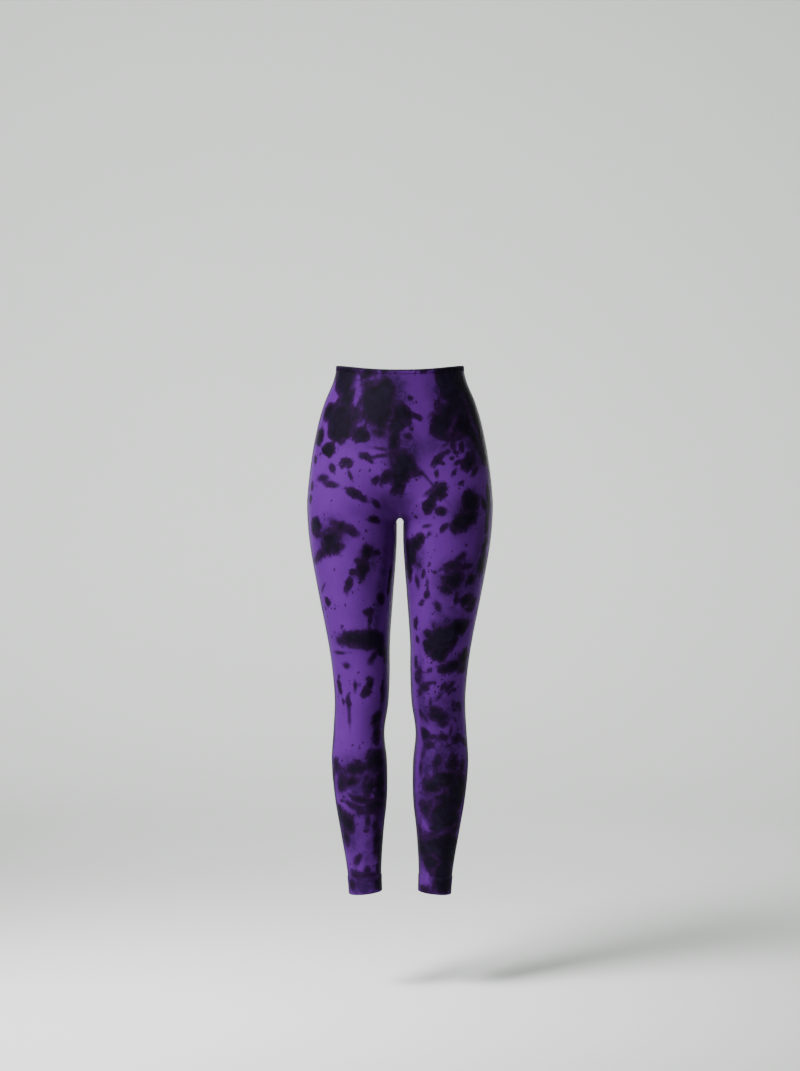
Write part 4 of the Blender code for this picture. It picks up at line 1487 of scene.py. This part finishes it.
@dataclass(frozen=True)
class InkedKnit:
    """Smooth stretch knit in purple, blotted with near-black dye that bled a little at its edges, and darkened
    with painted shade along its seams and in a few washes.
    """

    name: str
    purple: Triple = (0.0655, 0.0106, 0.1410)
    worn_purple: Triple = (0.0480, 0.0076, 0.1070)
    # colour of the thin washes of dye, and of the painted shade in a few washes and along the seams
    washed_and_shaded: Triple = (0.0125, 0.0036, 0.0280)
    margin: Triple = (0.0210, 0.0036, 0.0440)
    thin_ink: Triple = (0.0120, 0.0026, 0.0215)
    ink: Triple = (0.0035, 0.0021, 0.0062)
    veined: Triple = (0.0100, 0.0062, 0.0225)
    greyed: Triple = (0.110, 0.070, 0.170)
    greying: float = 0.45  # how much of that shows inside
    coarse_rag: Grain = Grain(0.024, 1.0, 0.5, 1.4)  # how the dye's edge wanders
    medium_rag: Grain = Grain(0.0105, 1.0, 0.5, 1.0)
    fine_rag: Grain = Grain(0.0042, 2.0, 0.55, 1.2, flow=0.8)
    hard_edge: float = 0.35  # half width of a hard edge, in millimetres
    soft_edge: float = 3.0  # how much wider a soft one is
    drop_sizes: tuple = ((0.0100, 0.13, 0.34, 0.5), (0.0064, 0.20, 0.28, 1.0))  # cell, least, more, share
    drag: float = 0.9  # how far a drop's outline is dragged, as a share of its cell
    drag_detail: float = 2.4  # how finely
    shade: Grain = Grain(0.055)
    streaks: Grain = Grain(0.004, 1.0, flow=0.10)
    worn: Grain = Grain(0.034, 2.0, 0.55, 0.4)
    smoke: Grain = Grain(0.026, 4.0, 0.62, 1.5)
    veins: Grain = Grain(0.045, 2.0, 0.5, 1.6)
    haze: Grain = Grain(0.036, 3.0, 0.55, 1.0)
    fuzz: Grain = Grain(0.0016)
    wale: float = 0.0009
    course: float = 0.0007
    stitch_depth: float = 0.00011
    roughness: float = 0.68
    gather: float = 0.0  # drop over which elastic still gathers the knit
    folds: Grain = Grain(0.0052, 1.0, flow=0.12)
    fold_depth: float = 0.0011

    def edge(self, bench: Bench) -> tuple[Signal, Signal, Signal]:
        """How far inside the ragged edge of the dye and of the painted seam shade a place lies.

        Args:
            bench: The material's nodes.

        Returns:
            Depth in millimetres, and the softness and raggedness of the edge.
        """
        # The dye depth also holds the painted shade lines along the seams.
        vector = bench.signal("ShaderNodeAttribute", {"attribute_name": "dye"}, output="Vector")
        depth, soft, rag = bench.parts(vector)
        coarse, medium, fine = map(bench.noise, (self.coarse_rag, self.medium_rag, self.fine_rag))
        return depth + rag * (0.95 * coarse + 0.6 * medium + 0.3) + (0.35 + 0.16 * rag) * fine, soft, rag

    def drops(self, bench: Bench) -> Signal:
        """Small ragged drops of dye, of two sizes.

        Args:
            bench: The material's nodes.

        Returns:
            1 on a drop and 0 off it.
        """
        found, place, density = [], bench.place, bench.number("spatter")
        for size, least, more, share in self.drop_sizes:
            scale = self.drag_detail / size
            pull = bench.signal("ShaderNodeTexNoise", None, {"Vector": place, "Scale": scale, "Detail": 1.0}, 1)
            pull = bench.scaled(pull, self.drag * size)
            dragged = bench.signal("ShaderNodeVectorMath", {"operation": "ADD"}, {0: place, 1: pull})
            cells = bench.add("ShaderNodeTexVoronoi", None, {"Vector": dragged, "Scale": 1.0 / size})
            far, tint = Signal(bench, cells.outputs["Distance"]), Signal(bench, cells.outputs["Color"])
            chance, span, _ = bench.parts(tint)
            found.append((least + more * span * span - far).rise(-0.02, 0.06)
                         * (density * share - chance).rise(0.0, 0.04))
        return found[0].highest(found[1])

    def ground(self, bench: Bench, smoke: Signal) -> Signal:
        """Colour of the cloth between the blots: purple, worn in places, under thin washes of dye and of
        painted shade.

        Args:
            bench: The material's nodes.
            smoke: Noise that the washes follow.

        Returns:
            The colour.
        """
        lightness = 1.0 + 0.06 * bench.noise(self.shade) + 0.035 * bench.noise(self.streaks)
        worn = bench.mix(bench.clouds(self.worn) * 0.65, self.purple, self.worn_purple)
        # The wash strength also holds painted shade: a few front washes and the fringes of the seam lines.
        wash = bench.number("wash")
        washed_and_shaded = (wash * (1.0 + 0.9 * smoke) + 0.25 * (wash - 0.2)).clamped()
        return bench.mix(washed_and_shaded * 0.95, bench.scaled(worn, lightness), self.washed_and_shaded)

    def colour(self, bench: Bench) -> tuple[Signal, Signal]:
        """Colour of the cloth.

        Args:
            bench: The material's nodes.

        Returns:
            The colour, and how much of it is dye.
        """
        edge, soft, rag = self.edge(bench)
        width = self.hard_edge + self.soft_edge * soft
        inked = edge.rise(-width, width)
        bled = edge.rise(-0.4 - 0.45 * rag - 1.5 * width, 0.3 * width)
        drops = self.drops(bench)
        inked, bled = inked.highest(0.6 * drops), bled.highest(drops)
        smoke = bench.noise(self.smoke)
        ground = self.ground(bench, smoke)
        vein = (1.0 - 2.6 * abs(bench.noise(self.veins))).clamped()
        haze = bench.noise(self.haze).rise(-0.1, 1.0)
        thin = (0.35 * vein * edge.rise(2.0, 9.0) + 0.8 * haze).clamped() * 0.7
        dark = bench.mix(thin, self.ink, self.veined)
        body = bench.mix((edge + 2.0 * smoke).rise(1.0, 8.5), self.thin_ink, dark)
        return bench.mix(inked, bench.mix(bled * 0.9, ground, self.margin), body), inked

    def stitches(self, bench: Bench) -> Signal:
        """Height of the knit's small Vs, from 0 to 1."""
        along, down, _ = bench.parts(bench.signal("ShaderNodeUVMap", {"uv_map": "cloth"}))
        limb = abs((along / self.wale).fraction() - 0.5) * 2.0
        loop = (down / self.course + limb * 0.5).fraction()
        return (1.0 - limb ** 3.0) * (loop * math.pi).sine()

    def make(self) -> bpy.types.Material:
        """The material."""
        bench = Bench(self.name)
        colour, inked = self.colour(bench)
        colour = bench.mix(bench.number("inside") * self.greying, colour, self.greyed)
        normal = bench.bump(self.stitches(bench), self.stitch_depth, 0.55)
        if self.gather:
            _, _, height = bench.parts(bench.place)
            fold = bench.noise(self.folds) * height.rise(-self.gather, 0.0)
            normal = bench.bump(fold * 0.5 + 0.5, self.fold_depth, 0.9, normal)
        return bench.finish({
            "Base Color": colour,
            "Roughness": self.roughness + 0.05 * bench.noise(self.fuzz) - 0.05 * inked,
            "Normal": normal,
            "Specular IOR Level": 0.035,
            "Sheen Weight": 0.006,
            "Sheen Roughness": 0.4,
            "Sheen Tint": (0.62, 0.45, 0.85, 1.0),
        })


@dataclass(frozen=True)
class DarkThread:
    """Near-black polyester thread or rolled edge, with fine wraps across it."""

    name: str
    colour: Triple = (0.0065, 0.0045, 0.0100)
    lit: Triple = (0.0150, 0.0085, 0.026)
    tone: Grain = Grain(0.012)
    fuzz: Grain = Grain(0.0011, 3.0, 0.6)
    wraps: Grain = Grain(0.0009, 1.0, flow=0.35)
    wrap_depth: float = 0.00015

    def make(self) -> bpy.types.Material:
        """The material."""
        bench = Bench(self.name)
        return bench.finish({
            "Base Color": bench.mix(bench.clouds(self.tone), self.colour, self.lit),
            "Roughness": 0.72 + 0.08 * bench.noise(self.fuzz),
            "Normal": bench.bump(0.5 + 0.3 * bench.noise(self.wraps), self.wrap_depth, 0.8),
            "Specular IOR Level": 0.12,
            "Sheen Weight": 0.03,
            "Sheen Roughness": 0.5,
        })


@dataclass(frozen=True)
class StudioPaint:
    """Matt pale paper of the floor and the wall, with a faint grain."""

    name: str
    base: Triple = (0.712, 0.739, 0.714)
    flecked: Triple = (0.718, 0.745, 0.720)
    tone: Grain = Grain(0.35)

    def make(self) -> bpy.types.Material:
        """The material."""
        bench = Bench(self.name)
        return bench.finish({
            "Base Color": bench.mix(bench.clouds(self.tone), self.base, self.flecked),
            "Roughness": 0.9,
            "Specular IOR Level": 0.1,
        })


# ---- pieces


@dataclass
class Panels:
    """The front and the two halves of the back, each cut in one length from the waist band to the cuffs."""

    form: GarmentForm
    tailor: Tailor
    row_step: float = 0.0029
    fork_reach: float = 0.030  # rows close up this far above the crotch
    fork_rows: int = 18
    roof_turns: tuple[int, ...] = (20, 40, 60, 75, 90)  # degrees down the rounded roof of the gap
    gap: float = 0.00015

    def rows(self) -> Array:
        """Drops of the rows, with some exactly at and round the crotch.

        Returns:
            The drops, from the top down.
        """
        top, foot = self.form.binding_height, self.form.hem_drop - self.form.cuff_height
        fork = self.form.crotch_drop
        upper = np.linspace(top, fork - self.fork_reach, round((fork - self.fork_reach - top) / self.row_step))
        closing = fork - self.fork_reach * np.linspace(1.0, 0.0, self.fork_rows + 1)[1:] ** 2
        roof = fork + self.form.crotch_roof * (1 - np.cos(np.radians(self.roof_turns)))
        lower = np.linspace(roof[-1], foot, round((foot - roof[-1]) / self.row_step))[1:]
        return np.concatenate([upper, closing, roof, lower])

    def build(self) -> list[Piece]:
        """Cut the panels.

        Returns:
            The front, the wearer's left back and the wearer's right back.
        """
        drops = self.rows()
        cloth = Cloth(self.form, drops, np.zeros(len(drops)))
        side = cloth.columns
        cuts = (
            ("front", (0, side, (0, 1)), (0.0, -self.gap, 0.0)),
            ("back_left_half", (side, None, (0,)), (self.gap, self.gap, 0.0)),
            ("back_right_half", (side, None, (1,)), (-self.gap, self.gap, 0.0)),
        )
        return [self.tailor.panel(name, cloth, *cloth.faces(*cut), shift) for name, cut, shift in cuts]


# Corners round a turned wall, from the middle of its top edge and back to it: an edge and millimetres below it,
# a face and millimetres outside it.
BAND_WALL = (
    ("top", 0, "middle", 0), ("top", 0.3, "outer", -0.3), ("top", 1.2, "outer", 0), ("top", 3, "outer", 0.1),
    ("top", 4.8, "outer", 0.1), ("foot", -1.4, "outer", -0.1), ("foot", -0.4, "outer", -0.2),
    ("foot", 0, "middle", 0), ("foot", -0.4, "inner", 0.3), ("foot", -1.4, "inner", 0),
    ("top", 3, "inner", 0), ("top", 0.3, "inner", 0.3), ("top", 0, "middle", 0),
)
CUFF_WALL = (
    ("top", 0, "middle", 0), ("top", 0.1, "outer", -0.7), ("top", 0.6, "outer", -0.2),
    ("foot", -0.9, "outer", -0.2), ("foot", -0.2, "outer", -0.8), ("foot", 0, "middle", 0),
    ("foot", -0.2, "inner", 0.8), ("foot", -1, "inner", 0.2), ("foot", -3, "inner", 0),
    ("foot", -16, "inner", 0), ("top", 3, "inner", 0), ("top", 0.6, "inner", 0.2), ("top", 0, "middle", 0),
)


def turned_wall(corners: tuple, top: float, foot: float, outer: float, wall: float) -> Array:
    """The outline of a turned band's wall.

    Args:
        corners: BAND_WALL or CUFF_WALL.
        top: Drop of its top edge.
        foot: Drop of its foot.
        outer: How far its outer face lies outside the form.
        wall: Its thickness.

    Returns:
        Drops and offsets of the corners.
    """
    edges = {"top": top, "foot": foot}
    faces = {"outer": outer, "middle": outer - wall / 2, "inner": outer - wall}
    return np.array([(edges[edge] + below * MM, faces[face] + out * MM) for edge, below, face, out in corners])


@dataclass
class WaistBand:
    """The narrow elastic band at the waist, faced with the same knit, and its rolled dark edge, whose
    near-black colour is partly painted shade along the turned top.
    """

    form: GarmentForm
    tailor: Tailor
    proud: float = 0.0005
    wall: float = 0.0022
    clear: float = 0.0001  # between its foot and the panels
    columns: int = 170
    edge_drop: float = 0.0016
    edge_half_height: float = 0.0017
    edge_half_width: float = 0.0013
    edge_shift: float = 0.0002  # outwards from the middle of the wall
    edge_sides: int = 10
    wrap_step: float = 0.0004
    wrap_points: int = 5
    wrap_swell: float = 0.07
    ripple: float = 0.00028
    ripple_length: float = 0.0055
    ripple_reach: float = 0.22  # length of cloth over which the ripples are counted
    ripple_inside: float = 0.4  # their share on the inner face
    stitch_drop: float = 0.0088
    stitch_lift: float = 0.0001

    def band(self) -> Piece:
        """Make the band, gathered a little by its elastic.

        Returns:
            The piece.
        """
        foot, middle = self.form.binding_height - self.clear, self.proud - self.wall / 2
        profile = turned_wall(BAND_WALL, self.edge_drop, foot, self.proud, self.wall)
        shares = np.linspace(-1.0, 1.0, 2 * self.columns + 1)
        wave = np.sin(0.5 * math.pi * shares) * self.ripple_reach * 2 * math.pi / self.ripple_length
        ripple = self.ripple * (np.sin(wave) + 0.5 * np.sin(0.53 * wave + 1.0))
        depths = np.where(profile[:, 1:] > middle, 1.0, self.ripple_inside)
        ripple = np.tile(ripple, (len(profile), 1)) * depths
        cloth = Cloth(
            self.form, profile[:, 0], profile[:, 1], columns=self.columns, closed=True, ripple=ripple)
        return self.tailor.band("waist_band", cloth)

    def edge(self) -> Piece:
        """Make the rolled edge, closely wrapped with thread; its near-black finish also stands in for painted
        shade along the turned top.

        Returns:
            The piece.
        """
        offset = self.proud - self.wall / 2 + self.edge_shift
        line = round_line(self.form, self.edge_drop, offset, None).even(self.wrap_step)
        turns = np.linspace(0.0, 2 * math.pi, self.edge_sides, endpoint=False)
        outline = np.stack([
            self.edge_half_height * np.cos(turns), self.edge_half_width * np.sin(turns)], axis=1)
        count = len(line.points)
        wraps = round(count / self.wrap_points)
        swell = 1.0 + self.wrap_swell * np.sin(np.arange(count) * 2 * math.pi * wraps / count)
        return lay_along("waist_edge", line, outline, swell)

    def stitches(self) -> Piece:
        """The row of stitches that holds the band down."""
        ring = round_line(self.form, self.stitch_drop, self.proud + self.stitch_lift, None)
        return self.tailor.stitched("waist_stitches", [ring])


@dataclass
class Cuffs:
    """The doubled cuffs at the ankles, with two rows of stitches near their tops."""

    form: GarmentForm
    tailor: Tailor
    proud: float = 0.0016
    wall: float = 0.0030
    face_ends: Pair = (0.0016, 0.0022)  # from the top and the foot
    face_rows: int = 11
    dent: float = 0.00030  # under a row of stitches
    dent_reach: float = 0.0016
    stitch_drops: Pair = (0.0042, 0.0090)  # below the cuff's top
    stitch_sink: float = 0.0001

    def profile(self) -> Array:
        """The outline of the cuff's wall, dented by its stitches.

        Returns:
            Drops and offsets, from its top edge and back to it.
        """
        top, foot = self.form.hem_drop - self.form.cuff_height, self.form.hem_drop
        down = np.linspace(top + self.face_ends[0], foot - self.face_ends[1], self.face_rows)
        nearest = np.abs(down[:, None] - top - np.array(self.stitch_drops)).min(axis=1)
        face = np.stack([down, self.proud - self.dent * (nearest < self.dent_reach)], axis=1)
        return np.insert(turned_wall(CUFF_WALL, top, foot, self.proud, self.wall), 3, face, axis=0)

    def cuff(self, leg: Leg) -> Piece:
        """One cuff."""
        profile = self.profile()
        name = f"ankle_cuff_{leg.name.lower()}"
        return self.tailor.band(name, Cloth(self.form, profile[:, 0], profile[:, 1], (leg,), closed=True))

    def stitches(self, leg: Leg) -> Piece:
        """Its two rows of stitches."""
        top, offset = self.form.hem_drop - self.form.cuff_height, self.proud - self.stitch_sink
        rings = [round_line(self.form, top + drop, offset, leg) for drop in self.stitch_drops]
        return self.tailor.stitched(f"cuff_stitches_{leg.name.lower()}", rings)


@dataclass
class Seams:
    """The side seams, inseams and centre back seam: a flat dark ridge under overlocked thread."""

    form: GarmentForm
    half_width: float = 0.0013
    height: float = 0.0007
    sunk: float = 0.0009
    lowered: float = 0.0002
    sides: int = 8
    row_step: float = 0.003
    clear: float = 0.0005  # below the roof of the gap between the legs
    tuck: float = 0.0004  # under a cuff
    pitch: float = 0.0026
    slant: float = 0.35  # of the thread's stitches, along for each step across
    stitch_reach: float = 2.1  # length of a stitch, in half widths
    stitch_rise: float = 0.0004
    stitch_seat: float = 0.45  # height at which it lies, as a share of the ridge's

    def line(self, leg: Leg | None, share: float) -> Line:
        """The line of one seam.

        Args:
            leg: The side it is on, or None for the middle of the back.
            share: 0 for a side seam, 1 for an inseam or the middle of the back.

        Returns:
            The line, from the top down.
        """
        top, foot = self.form.binding_height, self.form.hem_drop - self.form.cuff_height + self.tuck
        if leg is None:
            foot = self.form.crotch_drop
        elif share:
            top = self.form.crotch_drop + self.form.crotch_roof + self.clear
        return seam_line(self.form, leg, share, top, foot)

    def build(self) -> list[tuple[Piece, Piece]]:
        """Sew the seams.

        Returns:
            Each seam's ridge and thread.
        """
        seams = [(f"side_seam_{leg.name.lower()}", leg, 0.0) for leg in Leg]
        seams += [(f"inseam_{leg.name.lower()}", leg, 1.0) for leg in Leg]
        seams.append(("centre_back_seam", None, 1.0))
        turns = np.linspace(0.0, 2 * math.pi, self.sides, endpoint=False)
        depth, middle = (self.height + self.sunk) / 2, (self.height - self.sunk) / 2 - self.lowered
        outline = np.stack([self.half_width * np.cos(turns), depth * np.sin(turns) + middle], axis=1)
        made = []
        for name, leg, share in seams:
            line = self.line(leg, share)
            ridge = lay_along(name, line.even(self.row_step), outline)
            spots = line.even(self.pitch)
            along, out, across = spots.frames()
            places = spots.points + out * (self.height * self.stitch_seat)
            stitch = Thread(self.stitch_reach * self.half_width, rise=self.stitch_rise)
            made.append((ridge, stitch.sew(f"{name}_thread", places, unit(across + self.slant * along), out)))
        return made


# ---- stage


@dataclass(frozen=True)
class Lamp:
    """A soft square lamp and what it points at."""

    name: str
    place: Triple
    aim: Triple
    size: Pair
    power: float
    spread: float = 180.0  # degrees

    def add(self) -> None:
        """Hang the lamp."""
        select_only()
        turn = (Vector(self.aim) - Vector(self.place)).to_track_quat("-Z", "Y").to_euler()
        bpy.ops.object.light_add(type="AREA", location=self.place, rotation=turn)
        lamp = bpy.context.active_object
        lamp.name = self.name
        lamp.data.shape = "RECTANGLE"
        lamp.data.size, lamp.data.size_y = self.size
        lamp.data.energy, lamp.data.spread = self.power, math.radians(self.spread)


@dataclass
class Studio:
    """A pale round floor that sweeps up into a wall all round, soft lamps and the camera."""

    floor: float = -1.150
    radius: float = 6.4
    sides: int = 128
    sweep: float = 2.6
    sweep_cuts: int = 24
    height: float = 5.5
    camera_place: Triple = (0.0, -4.3, -0.310)
    lens: float = 78.98  # millimetres, as is the sensor
    sensor: float = 36.0
    farthest: float = 60.0
    world: float = 0.09
    lamps: tuple[Lamp, ...] = (
        Lamp("key", (-3.2, -1.5, 1.4), (0.0, 0.0, -0.45), (1.2, 1.2), 1.8, spread=60.0),
        Lamp("strip", (-2.1, -2.0, 0.0), (0.0, 0.0, -0.45), (0.4, 2.2), 2.0),
        Lamp("rear_lamp_left", (1.3, 3.3, 0.0), (0.0, 0.0, -0.40), (1.4, 1.4), 11.0, spread=60.0),
        Lamp("rear_lamp_right", (-1.5, 3.2, 0.0), (0.0, 0.0, -0.40), (1.4, 1.4), 7.0, spread=60.0),
        Lamp("side_lamp", (3.0, 2.0, 0.2), (0.0, 0.0, -0.40), (1.2, 1.2), 2.4, spread=60.0),
        Lamp("floor_lamp", (-1.70, -1.62, 1.6), (-0.35, 0.1, -1.150), (1.3, 1.3), 50.0, spread=64.0),
        Lamp("wall_lamp_back", (-0.8, 1.8, 3.4), (0.0, 5.6, -0.5), (4.0, 2.0), 175.0, spread=110.0),
        Lamp("wall_lamp_front", (0.4, -2.8, 4.2), (0.0, -5.6, 1.0), (5.0, 2.0), 95.0, spread=120.0),
        Lamp("wall_lamp_left", (3.0, 0.0, 4.2), (5.9, 0.0, 1.6), (2.0, 5.0), 65.0, spread=100.0),
        Lamp("wall_lamp_right", (-3.0, 0.0, 4.2), (-5.9, 0.0, 1.6), (2.0, 5.0), 65.0, spread=100.0),
    )

    def paper(self) -> None:
        """The floor and wall in one sheet of paper."""
        select_only()
        bpy.ops.mesh.primitive_circle_add(
            vertices=self.sides, radius=self.radius, fill_type="NGON", location=(0.0, 0.0, self.floor))
        sheet = bpy.context.active_object
        sheet.name = "studio_paper"
        bpy.ops.object.transform_apply(location=True, rotation=True, scale=True)
        bpy.ops.object.mode_set(mode="EDIT")
        bpy.ops.mesh.select_mode(type="EDGE")
        bpy.ops.mesh.select_all(action="SELECT")
        bpy.ops.mesh.region_to_loop()
        bpy.ops.mesh.extrude_edges_move(TRANSFORM_OT_translate={"value": (0, 0, self.height)})
        bpy.ops.object.mode_set(mode="OBJECT")
        for face in sheet.data.polygons:
            face.select = False
        for part in (*sheet.data.vertices, *sheet.data.edges):
            part.select = False
        for edge in sheet.data.edges:
            edge.select = all(sheet.data.vertices[i].co.z < self.floor + 0.01 for i in edge.vertices)
        bpy.ops.object.mode_set(mode="EDIT")
        bpy.ops.mesh.bevel(offset=self.sweep, segments=self.sweep_cuts, profile=0.5, affect="EDGES")
        bpy.ops.mesh.select_all(action="SELECT")
        bpy.ops.mesh.normals_make_consistent(inside=True)
        bpy.ops.object.mode_set(mode="OBJECT")
        sheet.data.shade_smooth()
        sheet.data.materials.append(StudioPaint("studio_paper").make())

    def camera(self) -> None:
        """The camera, level and straight in front."""
        select_only()
        bpy.ops.object.camera_add(location=self.camera_place, rotation=(math.pi / 2, 0.0, 0.0))
        camera = bpy.context.active_object
        camera.name = "front_camera"
        camera.data.sensor_width, camera.data.sensor_fit, camera.data.lens = self.sensor, "AUTO", self.lens
        camera.data.clip_end = self.farthest
        bpy.context.scene.camera = camera

    def build(self) -> None:
        """Everything round the garment."""
        self.paper()
        for lamp in self.lamps:
            lamp.add()
        self.camera()
        world = bpy.data.worlds.new("studio_world")
        world.use_nodes = True
        shade = world.node_tree.nodes["Background"]
        shade.inputs["Color"].default_value = (1.0, 1.0, 1.0, 1.0)
        shade.inputs["Strength"].default_value = self.world
        bpy.context.scene.world = world


# ---- main


def dress(piece: Piece, slot: Slot, material: bpy.types.Material, *nodes: str) -> None:
    """Finish a piece.

    Args:
        piece: The piece.
        slot: Its material slot in the record.
        material: Its finish.
        nodes: CAD nodes that it stands for.
    """
    piece.data.materials.clear()
    piece.data.materials.append(material)
    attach(piece, "root")
    if nodes:
        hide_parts(*nodes)
    log.info("%s: %d faces, %s", piece.name, len(piece.data.polygons), slot.value)


def main() -> None:
    """Build the leggings, the studio and the camera, in order."""
    logging.basicConfig(level=logging.INFO, format="%(name)s: %(message)s")
    form = GarmentForm()
    tailor = Tailor(form, DyeBath(form), Handle(form))
    knit = InkedKnit("inked_knit", gather=0.045).make()
    cuff_knit = InkedKnit("inked_cuff_knit", roughness=0.72).make()
    thread = DarkThread("dark_thread").make()

    front, back_left, back_right = Panels(form, tailor).build()
    dress(front, Slot.KNIT, knit, "front_panel")
    dress(back_left, Slot.KNIT, knit, "back_left")
    dress(back_right, Slot.KNIT, knit, "back_right")

    waist = WaistBand(form, tailor)
    band, edge, band_stitches = waist.band(), waist.edge(), waist.stitches()
    dress(band, Slot.KNIT, knit, "waist_binding")
    # The rolled edge's near-black finish is partly painted shade along the turned top of the band.
    dress(edge, Slot.TRIM, thread)
    dress(band_stitches, Slot.KNIT, knit)

    cuffs = Cuffs(form, tailor)
    for leg in Leg:
        cuff, rows = cuffs.cuff(leg), cuffs.stitches(leg)
        dress(cuff, Slot.CUFF, cuff_knit, f"cuff_{leg.name.lower()}")
        dress(rows, Slot.CUFF, cuff_knit)

    trims = []
    for ridge, stitches in Seams(form).build():
        dress(ridge, Slot.TRIM, thread)
        dress(stitches, Slot.TRIM, thread)
        trims += [ridge, stitches]

    Studio().build()


if __name__ == "__main__":
    main()
